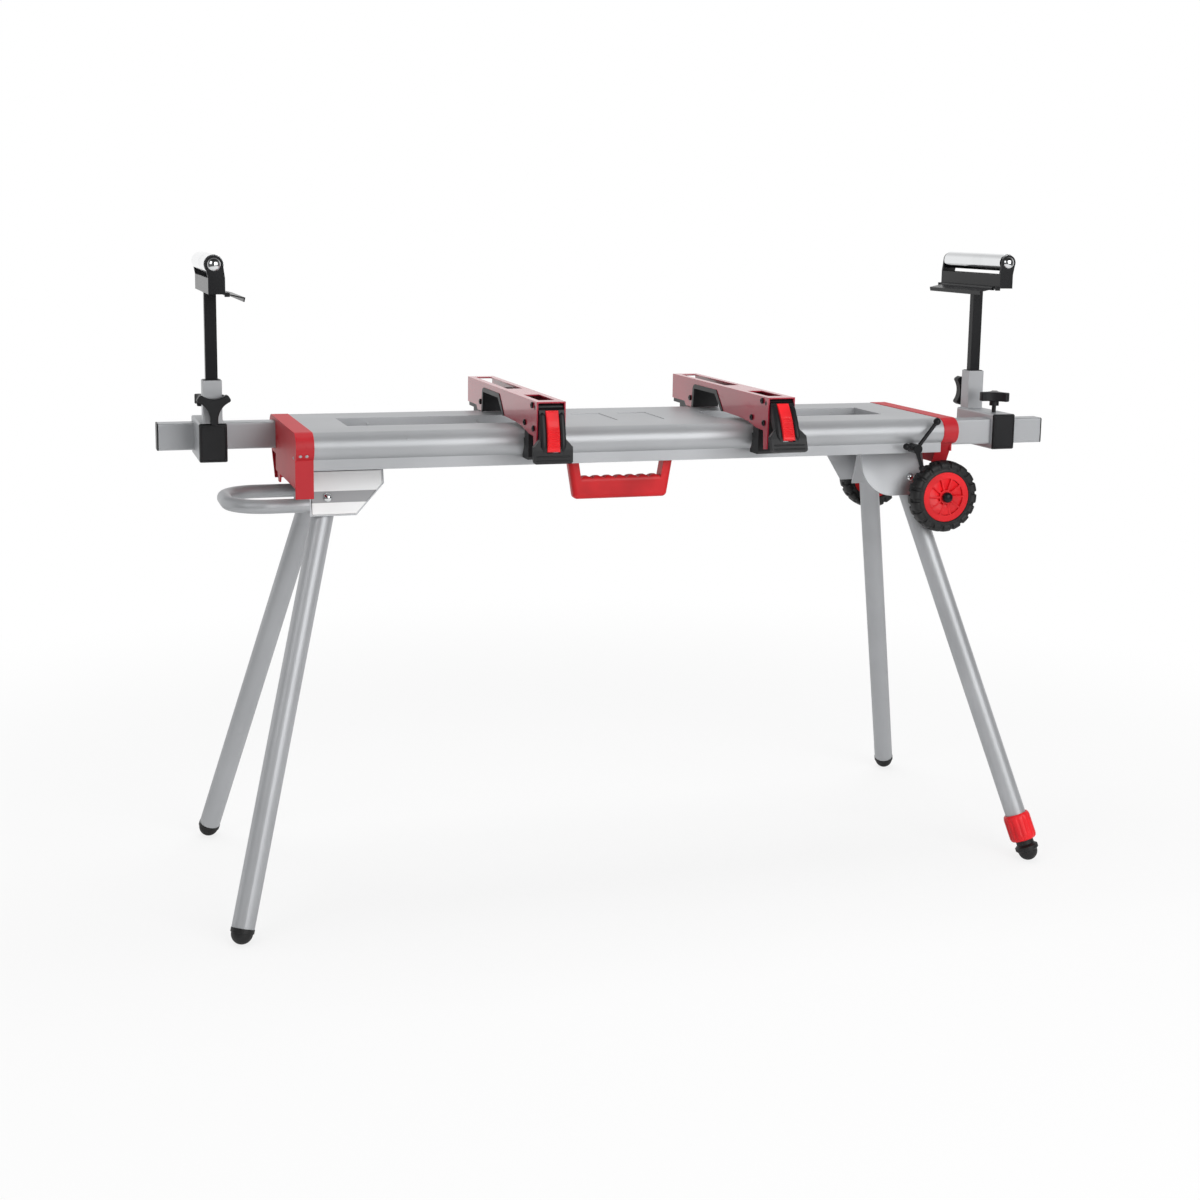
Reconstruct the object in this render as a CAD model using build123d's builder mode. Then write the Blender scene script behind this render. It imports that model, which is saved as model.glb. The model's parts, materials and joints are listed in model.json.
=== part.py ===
from build123d import *
import os
from math import asin, cos, radians, sin, sqrt

# Folding mitre saw stand. Millimetres, +Z up, X along the beam, -Y at the front.
# The origin is on the floor under the middle of the beam.

# Beam: two hollow rails tied by three cross members
BEAM_TOP = 820.0
BEAM_BOTTOM = 757.5
RAIL_HALF = 582.0
RAIL_INNER = 58.0
RAIL_WALL = 1.6
NOSE_Y = 137.0
NOSE_RADIUS = 24.0
BAND_Y = 150.0
CROSS_SPANS = ((-RAIL_HALF, -510.0), (-150.0, 170.0), (505.0, RAIL_HALF))
CROSS_WALL = 2.5
PANEL_SPANS = ((-78.0, -21.0), (12.0, 69.0))
PANEL_WIDTH = 112.0
PANEL_DEPTH = 1.2

# End caps, folded from sheet
CAP_OUTER = 612.0
CAP_SHEET = 3.0
CAP_PROUD = 1.0
CAP_PLATE_BOTTOM = 728.0
CAP_SKIRT = ((-84.0, 766.0), (-112.0, CAP_PLATE_BOTTOM), (84.0, CAP_PLATE_BOTTOM), (84.0, 766.0))
CAP_TONGUE = ((84.0, 766.0), (55.0, 712.0), (40.0, 712.0), (30.0, 730.0))
CAP_CHEEK_TOP = 775.0
STRAIGHT_TAB = ((150.0, 711.0),)
SLANTED_TAB = ((112.0, 728.0), (100.0, 712.0))

# Extension tubes: the right one runs in the front rail, the left one in the rear rail
TUBE_Y = 102.0
TUBE_Z = 790.0
TUBE_DEPTH = 35.0
TUBE_HEIGHT = 47.0
TUBE_WALL = 1.8
TUBE_INNER_END = -480.0
TUBE_OUTER_END = 812.0
TUBE_CAP = 2.5
TUBE_CORNER = 3.0
SLIDER_LENGTH = 40.0
SLIDER_Y = 98.0
SLIDER_DEPTH = 72.0
GUIDE_Y = 94.0
GUIDE_DEPTH = 64.0
FIT = 0.3

# Extension lock levers
LOCK_X = 519.0
LOCK_Z = 768.0
LOCK_SCREW = 5.0
LOCK_HUB = 9.0
LOCK_HUB_LENGTH = 25.5
LOCK_ARM = 3.6
LOCK_ARM_Y = 173.5
LOCK_ARMS = ((40.0, 50.0, 7.0), (-21.0, 5.0, 6.4), (13.0, -36.0, 6.0))
LOCK_TURN = {-1: -65.0, 1: 0.0}

# Legs: the centre lines lean out along X and along Y
LEG_RADIUS = 19.0
LEG_WALL = 1.6
LEG_HEAD = {-1: 14.0, 1: 26.0}
LEG_SPREAD_X = 0.2597
LEG_FOOT_X = 729.4
LEG_SPREAD_Y = {-1: 0.2993, 1: 0.3213}
LEG_FOOT_Y = {-1: 270.8, 1: 299.6}
PIVOT_Z = {-1: 728.0, 1: 681.0}
PIVOT_RADIUS = 5.0
RUNNING_FIT = 0.05
FOOT_RADIUS = 18.0
FOOT_START = 8.0
FOOT_PLUG = 34.0
COLLAR_RADIUS = 25.0
COLLAR_START = 22.0
COLLAR_END = 72.0
COLLAR_STEP = 52.0
LOCK_BUTTON_Z = {-1: 695.5, 1: 697.0}
BUTTON_RADIUS = 7.5
BUTTON_DOME = 4.6
BUTTON_PIN = 4.0

# Leg brackets
PLATE_GAP = 20.5
PLATE = 3.0
TOP_PLATE_X = 451.0
PLATE_OUTER_X = 580.0
INNER_PLATE_X = 506.0
PLATE_TOP = 775.0
PLATE_BOTTOM = 671.0
PLATE_CORNERS = {
    (-1, -1): (451.0, 722.0, 501.0), (-1, 1): (451.0, 722.0, 501.0),
    (1, -1): (451.0, 722.0, 510.0), (1, 1): (442.0, 752.0, 503.0),
}
ROUND_PLATE = (1, -1)
ROUND_MIDDLE = (470.0, 685.0)
BRACKET_HALF_WIDTH = 96.0

# Lift handle and carry handle
LIFT_RADIUS = 12.0
LIFT_WALL = 2.0
LIFT_BEND = 62.0
LIFT_Y = 85.0
LIFT_Z = 690.0
LIFT_END_X = -709.0
CARRY_X = -40.0
CARRY_Y = -122.0
CARRY_DEPTH = 24.0
CARRY_BOTTOM = 690.5
CARRY_HALF_TOP = 97.0
CARRY_HALF_BOTTOM = 86.0
CARRY_GRIP = 37.0
CARRY_GAP_TOP = 79.0
CARRY_GAP_BOTTOM = 74.0
CARRY_BUMPS = 7
CARRY_BUMP_RISE = 3.5
CARRY_ROUND = 9.0

# Transport wheels
AXLE_X = 592.0
AXLE_Z = 674.0
AXLE_RADIUS = 6.0
AXLE_CAP = 9.0
EAR_Y = 110.0
AXLE_EAR = ((137.0, 773.0), (123.0, 745.0), (EAR_Y, 719.0), (EAR_Y, AXLE_Z - 15.0))
WHEEL_RADIUS = 67.5
WHEEL_OUTER_Y = 163.0
TYRE_WIDTH = 33.0
TYRE_SHOULDER = 8.5
NOTCHES = 18
NOTCH_DEPTH = 3.0
NOTCH_LENGTH = 10.0
RIM_RADIUS = 46.5
HUB_INSET = 2.0
HUB_BOSS = 13.0
HUB_RIBS = 10
HUB_RIB = 3.2
HUB_FRONT = (35.0, 5.0)
HUB_BACK = (42.0, 9.0)

# Work supports, the left one turned half round about Z
SADDLE_X = {-1: 728.5, 1: 726.5}
SADDLE_WIDTH = 47.0
SADDLE_BOTTOM = 756.5
SADDLE_TOP = 823.0
SADDLE_FRONT = -127.0
SADDLE_REAR = 7.0
SADDLE_WALL = 2.5
SADDLE_CAP = 3.0
SLEEVE_X = 32.0
SLEEVE_Y = 27.0
SLEEVE_TOP = 896.0
BUSH_BOTTOM = 850.0
BUSH_TOP = 897.0
SLEEVE_WALL = 2.0
POST_X = 20.0
POST_Y = 13.4
POST_WALL = 2.0
POST_CENTRE_Y = -5.0
POST_BOTTOM = 772.0
HEAD_BOTTOM = 1059.0
HEAD_WIDTH = 27.0
HEAD_HALF_LENGTH = 112.0
HEAD_WALL_TOP = 1085.0
HEAD_SHEET = 3.0
CHEEK = 5.0
CHEEK_ROUND = 14.2
ROLLER_SHIFT = 3.5
ROLLER_Z = 1107.0
ROLLER_RADIUS = 16.0
ROLLER_AXLE = 5.0
ROLLER_SHELL = 3.0
ROLLER_DISC = 8.0
ROLLER_CAP = 11.0
ROLLER_DOME = 6.0
LEFT_HEAD_DROP = 14.0
FLAP_HINGE_X = 18.5
FLAP_HINGE_Z = 1058.5
FLAP_PIN = 1.8
FLAP_KNUCKLE = 3.6
FLAP_REACH = 29.0
FLAP_LIP = 6.5
FLAP_SHEET = 2.0
FLAP_HALF_LENGTH = 97.0
FLAP_DROOP = 12.0

# Clamp knobs
KNOB_REACH = 30.0
KNOB_TIP = 7.0
KNOB_WAIST = 12.5
KNOB_CORNER = 4.0
KNOB_THICK = 17.0
KNOB_HUB = 9.0
KNOB_SCREW = 4.0
POST_KNOB_Z = 854.0
POST_KNOB_TURN = {-1: 0.0, 1: -90.0}
SADDLE_KNOB_Y = -90.0
SADDLE_KNOB_Z = 845.0

# Saw brackets
BRACKET_X = {-1: -204.0, 1: 212.0}
BRACKET_WIDTH = 50.0
BRACKET_SHEET = 2.5
BRACKET_TOP = 875.8
BRACKET_SEAT = 821.0
BRACKET_FRONT = -249.0
BRACKET_REAR = 225.0
BRACKET_TOE = ((BRACKET_FRONT, 832.0), (-246.0, 786.0), (-232.0, 784.0), (-229.0, 817.0))
BRACKET_BELLY = ((-212.0, 817.5), (-196.0, 819.0), (-180.0, 822.0), (-160.0, 825.5), (-120.0, 828.5))
BRACKET_ARCH = (
    (-44.0, 830.0), (-8.0, 866.0), (103.0, 866.0), (109.0, 863.5), (112.7, 857.5), (118.0, BRACKET_SEAT),
)
ARCH_LINING = ((-44.0, BRACKET_SEAT), (-1.0, 858.0), (104.0, 858.0), (109.0, BRACKET_SEAT))
BRACKET_HEEL = ((150.0, BRACKET_SEAT), (158.0, 829.0), (BRACKET_REAR, 829.0))
HEEL_PAD = ((153.0, 821.4), (158.6, 829.0), (224.0, 829.0), (224.0, 821.4))
REAR_HOOK = ((150.0, 806.0), (150.0, 824.0), (190.0, 824.0), (186.0, 788.0), (158.0, 788.0))
WINDOW_WIDTH = 28.0
WINDOWS = ((-22.0, 205.0), (-222.0, -128.0))
NOSE_CLEARANCE = 0.8
LEVER_Y = -238.0
LEVER_Z = 865.0
LEVER_OPEN = {-1: 0.0, 1: 17.0}
LEVER_PIN = 4.0
LEVER_HUB = 7.5
LEVER_HALF = 21.8
LEVER_LENGTH = 91.0
LEVER_FRONT = (
    (-8.0, 1.0), (-13.4, -2.6), (-18.5, -20.0), (-22.6, -38.0), (-25.6, -55.0), (-27.4, -68.0),
    (-28.5, -LEVER_LENGTH),
)
LEVER_BACK = ((-19.5, -LEVER_LENGTH), (-13.0, -50.0), (-1.0, -20.0), (7.5, 0.0))
FLARE_HALF = 33.5
TRIGGER_HALF = 11.0
TRIGGER_PIVOT = (-11.0, -12.0)
TRIGGER_BOSS = 3.2
TRIGGER_PIN = 1.8
TRIGGER_FRONT = ((-14.2, -3.6), (-20.3, -20.0), (-24.9, -38.0), (-27.8, -55.0), (-29.2, -71.0))
TRIGGER_BACK = ((-21.8, -71.0), (-15.0, -45.0), (-8.4, -12.0), (-8.6, -3.6))
TRIGGER_POCKET = ((-45.0, -3.0), (-8.0, -3.0), (-8.0, -9.5), (15.0, -9.5), (15.0, -73.0), (-45.0, -73.0))
JAW_FOOT = ((-153.0, 771.0), (-185.0, 771.0), (-190.0, 776.0), (-190.0, 806.0), (-153.0, 806.0))
JAW_NECK = ((-190.0, 800.0), (-190.0, 830.0), (-184.0, 836.0), (-166.0, 836.0), (-166.0, 800.0))
JAW_HALF = 22.0
JAW_RELEASE = 34.0
LEVER_TRAVEL = 45.0

SIDES = {-1: "left", 1: "right"}
ROWS = {-1: "front", 1: "rear"}
NOSE_Z = BEAM_TOP - NOSE_RADIUS

os.makedirs("parts", exist_ok=True)


def save(piece, name):
    """Label a finished piece and write it as its own file."""
    piece.part.label = name
    export_step(piece.part, f"parts/{name}.step")


def crease_z(grow):
    """Height where the bullnose, grown by a distance, meets the lower band."""
    return NOSE_Z - sqrt((NOSE_RADIUS + grow) ** 2 - (BAND_Y + grow - NOSE_Y) ** 2)


def dome_middle(radius, height):
    """Middle point of a spherical dome's profile, from its base radius and its height."""
    ball = (radius**2 + height**2) / (2 * height)
    half = asin(radius / ball) / 2
    return ball * sin(half), height - ball + ball * cos(half)


def upright(side, y):
    """Vertical plane that faces the support's own front, for either end of the stand."""
    return Plane(origin=(0, side * y, 0), x_dir=(side, 0, 0), z_dir=(0, -side, 0))


def make_rail(row):
    """Hollow rail with a bullnose outer edge and the hole of its lock screw."""
    with BuildPart() as rail:
        with BuildSketch(Plane.YZ.offset(-RAIL_HALF)):
            with BuildLine():
                Polyline(
                    (row * BAND_Y, crease_z(0)),
                    (row * BAND_Y, BEAM_BOTTOM),
                    (row * RAIL_INNER, BEAM_BOTTOM),
                    (row * RAIL_INNER, BEAM_TOP),
                    (row * NOSE_Y, BEAM_TOP),
                )
                ThreePointArc(
                    (row * NOSE_Y, BEAM_TOP),
                    (row * (NOSE_Y + NOSE_RADIUS), NOSE_Z),
                    (row * BAND_Y, crease_z(0)),
                )
            make_face()
            offset(amount=-RAIL_WALL, mode=Mode.SUBTRACT)
        extrude(amount=2 * RAIL_HALF)
        with Locations((-row * LOCK_X, row * BAND_Y, LOCK_Z)):
            Cylinder(LOCK_SCREW + RUNNING_FIT, 4 * RAIL_WALL, rotation=(90, 0, 0), mode=Mode.SUBTRACT)
    save(rail, f"rail_{ROWS[row]}")


def make_cross_members():
    """Three flat box sections between the rails, the middle one with two pressed panels."""
    height = BEAM_TOP - BEAM_BOTTOM
    with BuildPart() as members:
        for start, end in CROSS_SPANS:
            with Locations(((start + end) / 2, 0, (BEAM_TOP + BEAM_BOTTOM) / 2)):
                Box(end - start, 2 * RAIL_INNER, height)
                Box(end - start - 2 * CROSS_WALL, 2 * RAIL_INNER, height - 2 * CROSS_WALL, mode=Mode.SUBTRACT)
        for start, end in PANEL_SPANS:
            with BuildSketch(Plane.XY.offset(BEAM_TOP)):
                with Locations(((start + end) / 2, 0)):
                    Rectangle(end - start, PANEL_WIDTH)
            extrude(amount=-PANEL_DEPTH, mode=Mode.SUBTRACT)
    save(members, "cross_members")


def strap_side(row, grow, ear):
    """One side of a cap's strap, from the middle of the top down round the bullnose to its tab."""
    outer = BAND_Y + grow
    crease = crease_z(grow)
    top = BEAM_TOP + grow
    Line((0, top), (row * NOSE_Y, top))
    ThreePointArc((row * NOSE_Y, top), (row * (NOSE_Y + NOSE_RADIUS + grow), NOSE_Z), (row * outer, crease))
    points = [(outer, crease)] + [(y + grow, z) for y, z in ear]
    Polyline(*[(row * y, z) for y, z in points])
    return row * points[-1][0], points[-1][1]


def make_end_cap(side):
    """Red end cap: a strap round the rails' ends, its tabs, and the outer plate with the tube's hole."""
    tabs = {-1: AXLE_EAR, 1: AXLE_EAR} if side > 0 else {-1: STRAIGHT_TAB, 1: SLANTED_TAB}
    inner = CAP_PROUD - CAP_SHEET
    with BuildPart() as cap:
        with BuildSketch(Plane.YZ.offset(side * (RAIL_HALF + CAP_OUTER) / 2)):
            with BuildLine():
                for row in ROWS:
                    Line(strap_side(row, CAP_PROUD, tabs[row]), strap_side(row, inner, tabs[row]))
            make_face()
        extrude(amount=(CAP_OUTER - RAIL_HALF) / 2, both=True)
        with BuildSketch(Plane.YZ.offset(side * (CAP_OUTER - CAP_SHEET / 2))):
            with Locations((0, (NOSE_Z + CAP_PLATE_BOTTOM) / 2)):
                Rectangle(2 * RAIL_INNER, NOSE_Z - CAP_PLATE_BOTTOM)
            with Locations((0, (BEAM_TOP + BEAM_BOTTOM) / 2)):
                Rectangle(2 * NOSE_Y, BEAM_TOP - BEAM_BOTTOM)
            with Locations((-NOSE_Y, NOSE_Z), (NOSE_Y, NOSE_Z)):
                Circle(NOSE_RADIUS)
            Polygon(*CAP_SKIRT, align=None)
            if side < 0:
                with Locations((-BAND_Y / 2, (CAP_CHEEK_TOP + CAP_PLATE_BOTTOM) / 2)):
                    Rectangle(BAND_Y, CAP_CHEEK_TOP - CAP_PLATE_BOTTOM)
                Polygon(*CAP_TONGUE, align=None)
            with Locations((-side * TUBE_Y, TUBE_Z)):
                Rectangle(TUBE_DEPTH + 2, TUBE_HEIGHT + 2, mode=Mode.SUBTRACT)
        extrude(amount=CAP_SHEET / 2, both=True)
        if side > 0:
            with Locations((AXLE_X, 0, AXLE_Z)):
                Cylinder(AXLE_RADIUS + RUNNING_FIT, 2 * BAND_Y, rotation=(90, 0, 0), mode=Mode.SUBTRACT)
    save(cap, f"end_cap_{SIDES[side]}")


def make_tube_guides():
    """Plastic bushes in the caps that carry the extension tubes."""
    length = CAP_OUTER - CAP_SHEET - RAIL_HALF
    low = BEAM_BOTTOM + RAIL_WALL
    high = BEAM_TOP + CAP_PROUD - CAP_SHEET
    with BuildPart() as guides:
        for side in SIDES:
            with Locations((side * (RAIL_HALF + length / 2), -side * GUIDE_Y, (low + high) / 2)):
                Box(length, GUIDE_DEPTH, high - low)
            with Locations((side * (RAIL_HALF + length / 2), -side * TUBE_Y, TUBE_Z)):
                Box(length, TUBE_DEPTH + 2 * FIT, TUBE_HEIGHT + 2 * FIT, mode=Mode.SUBTRACT)
    save(guides, "tube_guides")


def leg_frame(side, row):
    """Pivot point, outward plate normal and direction down the leg. The fold turns about the normal."""
    spread = LEG_SPREAD_Y[side]
    pivot_z = PIVOT_Z[side]
    reach = LEG_FOOT_X - LEG_SPREAD_X * pivot_z
    pivot = Vector(side * reach, row * (LEG_FOOT_Y[side] - spread * pivot_z), pivot_z)
    normal = Vector(0, row, spread).normalized()
    down = Vector(side * LEG_SPREAD_X, row * spread, -1).normalized()
    return pivot, normal, down


def along_leg(side, row, z):
    """Point of the leg's centre line at a height."""
    pivot, normal, down = leg_frame(side, row)
    return pivot + down * ((z - pivot.Z) / down.Z)


def on_plate(side, row, plane, points):
    """Points in the plane of a leaning plate, from distances along the beam and heights."""
    rise = abs(plane.z_dir.Y)
    return [(-row * (side * x - plane.origin.X), (z - plane.origin.Z) / rise) for x, z in points]


def make_leg_bracket(side):
    """Folded bracket under the beam: a wide outer and a narrow inner plate for each leg on one top plate."""
    with BuildPart() as bracket:
        for row in ROWS:
            pivot, normal, down = leg_frame(side, row)
            inner_x, corner_z, corner_x = PLATE_CORNERS[side, row]
            outer = Plane(origin=pivot + normal * PLATE_GAP, x_dir=(-row, 0, 0), z_dir=normal)
            edge = [(corner_x, PLATE_BOTTOM), (PLATE_OUTER_X, PLATE_BOTTOM), (PLATE_OUTER_X, PLATE_TOP)]
            edge += [(inner_x, PLATE_TOP), (inner_x, corner_z)]
            edge = on_plate(side, row, outer, edge)
            with BuildSketch(outer):
                with BuildLine():
                    Polyline(*edge)
                    if (side, row) == ROUND_PLATE:
                        ThreePointArc(edge[-1], on_plate(side, row, outer, [ROUND_MIDDLE])[0], edge[0])
                    else:
                        Line(edge[-1], edge[0])
                make_face()
            extrude(amount=PLATE)
            inner = Plane(origin=pivot - normal * PLATE_GAP, x_dir=(-row, 0, 0), z_dir=normal)
            edge = [(INNER_PLATE_X, PLATE_BOTTOM), (PLATE_OUTER_X, PLATE_BOTTOM), (PLATE_OUTER_X, PLATE_TOP)]
            edge += [(INNER_PLATE_X, PLATE_TOP)]
            with BuildSketch(inner):
                Polygon(*on_plate(side, row, inner, edge), align=None)
            extrude(amount=-PLATE)
        split(bisect_by=Plane.XY.offset(BEAM_BOTTOM - PLATE), keep=Keep.BOTTOM)
        with Locations((side * (TOP_PLATE_X + PLATE_OUTER_X) / 2, 0, BEAM_BOTTOM - PLATE / 2)):
            Box(PLATE_OUTER_X - TOP_PLATE_X, 2 * BRACKET_HALF_WIDTH, PLATE)
        for row in ROWS:
            pivot, normal, down = leg_frame(side, row)
            with Locations(Plane(origin=pivot, z_dir=normal)):
                Cylinder(PIVOT_RADIUS + RUNNING_FIT, 4 * PLATE_GAP, mode=Mode.SUBTRACT)
            lock = along_leg(side, row, LOCK_BUTTON_Z[side])
            with Locations(Plane(origin=lock + normal * PLATE_GAP, z_dir=normal)):
                Cylinder(BUTTON_PIN + RUNNING_FIT, 4 * PLATE, mode=Mode.SUBTRACT)
    save(bracket, f"leg_bracket_{SIDES[side]}")


def make_pivot_pins():
    """Four pins that the legs fold on, flush with the bracket plates."""
    with BuildPart() as pins:
        for side in SIDES:
            for row in ROWS:
                pivot, normal, down = leg_frame(side, row)
                with Locations(Plane(origin=pivot, z_dir=normal)):
                    Cylinder(PIVOT_RADIUS, 2 * (PLATE_GAP + PLATE))
    save(pins, "leg_pivot_pins")


def make_leg(side, row, end_inset):
    """Leg tube with its pivot hole, closed at the head; it ends short of the foot's ball."""
    pivot, normal, down = leg_frame(side, row)
    length = (along_leg(side, row, FOOT_RADIUS) - pivot).length - end_inset
    lock = (along_leg(side, row, LOCK_BUTTON_Z[side]) - pivot).dot(down)
    head = LEG_HEAD[side]
    on_end = (Align.CENTER, Align.CENTER, Align.MIN)
    with BuildPart(Plane(origin=pivot, x_dir=normal, z_dir=down)) as leg:
        with Locations((0, 0, -head)):
            Cylinder(LEG_RADIUS, length + head, align=on_end)
        with Locations((0, 0, LEG_WALL - head)):
            Cylinder(LEG_RADIUS - LEG_WALL, length + head, align=on_end, mode=Mode.SUBTRACT)
        Cylinder(PIVOT_RADIUS + RUNNING_FIT, 4 * LEG_RADIUS, rotation=(0, 90, 0), mode=Mode.SUBTRACT)
        with Locations((LEG_RADIUS, 0, lock)):
            Cylinder(BUTTON_PIN + 2 * FIT, LEG_RADIUS, rotation=(0, 90, 0), mode=Mode.SUBTRACT)
    save(leg, f"leg_{ROWS[row]}_{SIDES[side]}")


def turn_on_leg(side, row, profile, name):
    """Round piece on a leg's centre line: points of radius and distance past the foot's ball centre."""
    pivot, normal, down = leg_frame(side, row)
    centre = along_leg(side, row, FOOT_RADIUS)
    with BuildPart() as piece:
        with BuildSketch(Plane(origin=centre, x_dir=normal, z_dir=normal.cross(down))):
            with BuildLine():
                Polyline(*profile)
                if profile[-1] == (FOOT_RADIUS, 0):
                    middle = FOOT_RADIUS / sqrt(2)
                    ThreePointArc((FOOT_RADIUS, 0), (middle, middle), (0, FOOT_RADIUS))
                    Line((0, FOOT_RADIUS), profile[0])
                else:
                    Line(profile[-1], profile[0])
            make_face()
        revolve(axis=Axis(centre, down))
    save(piece, name)


def make_foot(side, row):
    """Rubber foot: a plug in the tube, a rim flush with it and a ball end."""
    plug = LEG_RADIUS - LEG_WALL
    rim = LEG_RADIUS + 0.6
    profile = [(0, -FOOT_PLUG), (plug, -FOOT_PLUG), (plug, -FOOT_START), (rim, -FOOT_START), (rim, -1)]
    profile += [(FOOT_RADIUS, 0)]
    turn_on_leg(side, row, profile, f"foot_{ROWS[row]}_{SIDES[side]}")


def make_adjustable_foot():
    """Front right leg: a red collar that turns on the tube and drives the foot in and out."""
    neck = 16.4
    stem = 14.0
    skirt = 21.5
    bevel = 2.5
    bore = LEG_RADIUS + FIT
    collar = [(neck + FIT, -COLLAR_START), (COLLAR_RADIUS - bevel, -COLLAR_START)]
    collar += [(COLLAR_RADIUS, -COLLAR_START - 2 * bevel), (COLLAR_RADIUS, 2 * bevel - COLLAR_END)]
    collar += [(COLLAR_RADIUS - bevel, -COLLAR_END), (bore, -COLLAR_END)]
    collar += [(bore, -COLLAR_STEP), (neck + FIT, -COLLAR_STEP)]
    turn_on_leg(1, -1, collar, "foot_collar")
    foot = [(0, -92), (stem, -92), (stem, -50), (neck, -50), (neck, -13)]
    foot += [(skirt, -9), (skirt, -3), (FOOT_RADIUS, 0)]
    turn_on_leg(1, -1, foot, "adjustable_foot")


def make_lock_button(side, row):
    """Sprung lock plunger with a domed head, on the outer plate of a leg bracket."""
    pivot, normal, down = leg_frame(side, row)
    centre = along_leg(side, row, LOCK_BUTTON_Z[side])
    tip = LEG_RADIUS + 2 * FIT
    seat = PLATE_GAP + PLATE + FIT
    shoulder = seat + 2.0
    with BuildPart() as button:
        with BuildSketch(Plane(origin=centre, x_dir=(1, 0, 0), z_dir=Vector(1, 0, 0).cross(normal))):
            with BuildLine():
                Polyline((0, tip), (BUTTON_PIN, tip), (BUTTON_PIN, seat), (BUTTON_RADIUS, seat))
                Line((BUTTON_RADIUS, seat), (BUTTON_RADIUS, shoulder))
                bulge, rise = dome_middle(BUTTON_RADIUS, BUTTON_DOME)
                top = shoulder + BUTTON_DOME
                ThreePointArc((BUTTON_RADIUS, shoulder), (bulge, shoulder + rise), (0, top))
                Line((0, top), (0, tip))
            make_face()
        revolve(axis=Axis(centre, normal))
    save(button, f"lock_button_{ROWS[row]}_{SIDES[side]}")


def make_lift_handle():
    """Bent tube at the left end, welded against the outer plates of the leg bracket."""
    with BuildPart() as handle:
        with BuildLine(Plane.XY.offset(LIFT_Z)) as route:
            FilletPolyline(
                (-PLATE_OUTER_X, -LIFT_Y), (LIFT_END_X, -LIFT_Y),
                (LIFT_END_X, LIFT_Y), (-PLATE_OUTER_X, LIFT_Y),
                radius=LIFT_BEND,
            )
        with BuildSketch(Plane(origin=(-PLATE_OUTER_X, -LIFT_Y, LIFT_Z), z_dir=(-1, 0, 0))):
            Circle(LIFT_RADIUS)
            Circle(LIFT_RADIUS - LIFT_WALL, mode=Mode.SUBTRACT)
        sweep(path=route.line)
    save(handle, "lift_handle")


def make_carry_handle():
    """Red carry handle under the front rail, with finger bumps along the grip."""
    grip_top = CARRY_BOTTOM + CARRY_GRIP
    pitch = 2 * CARRY_GAP_BOTTOM / CARRY_BUMPS
    bump = pitch * 0.62
    with BuildPart() as handle:
        with BuildSketch(Plane.XZ.offset(-CARRY_Y)) as face:
            Polygon(
                (CARRY_X - CARRY_HALF_TOP, BEAM_BOTTOM), (CARRY_X - CARRY_HALF_BOTTOM, CARRY_BOTTOM),
                (CARRY_X + CARRY_HALF_BOTTOM, CARRY_BOTTOM), (CARRY_X + CARRY_HALF_TOP, BEAM_BOTTOM),
                align=None,
            )
            fillet(face.vertices().group_by(Axis.Y)[0], radius=9)
            Polygon(
                (CARRY_X - CARRY_GAP_TOP, BEAM_BOTTOM), (CARRY_X - CARRY_GAP_BOTTOM, grip_top),
                (CARRY_X + CARRY_GAP_BOTTOM, grip_top), (CARRY_X + CARRY_GAP_TOP, BEAM_BOTTOM),
                align=None, mode=Mode.SUBTRACT,
            )
            with Locations((CARRY_X, grip_top - bump + CARRY_BUMP_RISE)):
                with GridLocations(pitch, 0, CARRY_BUMPS, 1):
                    Circle(bump)
        extrude(amount=CARRY_DEPTH / 2, both=True)
        long_edges = handle.edges().filter_by_position(Axis.Z, CARRY_BOTTOM - 1, CARRY_BOTTOM + 1)
        fillet(long_edges.filter_by(Axis.X), radius=8)
        with BuildSketch(Plane.YZ.offset(CARRY_X)):
            for way in (-1, 1):
                corner_y = CARRY_Y + way * CARRY_DEPTH / 2
                corner_z = grip_top + CARRY_BUMP_RISE + 1
                with Locations((corner_y, corner_z)):
                    Rectangle(2 * CARRY_ROUND, 2 * CARRY_ROUND + 2)
                with Locations((corner_y - way * CARRY_ROUND, corner_z - CARRY_ROUND - 1)):
                    Circle(CARRY_ROUND, mode=Mode.SUBTRACT)
        extrude(amount=CARRY_GAP_BOTTOM, both=True, mode=Mode.SUBTRACT)
    save(handle, "carry_handle")


def make_axle():
    """Wheel axle with a domed cap past each wheel."""
    with BuildPart() as axle:
        with BuildSketch(Plane(origin=(AXLE_X, 0, AXLE_Z), x_dir=(0, 0, 1), z_dir=(-1, 0, 0))):
            with BuildLine():
                end = WHEEL_OUTER_Y + FIT
                Polyline((0, -end - 8), (AXLE_CAP / 2, -end - 7), (AXLE_CAP, -end - 3), (AXLE_CAP, -end))
                Polyline((AXLE_CAP, -end), (AXLE_RADIUS, -end), (AXLE_RADIUS, 0), (0, 0), (0, -end - 8))
            make_face()
            mirror(about=Plane.XZ)
        revolve(axis=Axis((AXLE_X, 0, AXLE_Z), (0, 1, 0)))
    save(axle, "wheel_axle")


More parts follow.
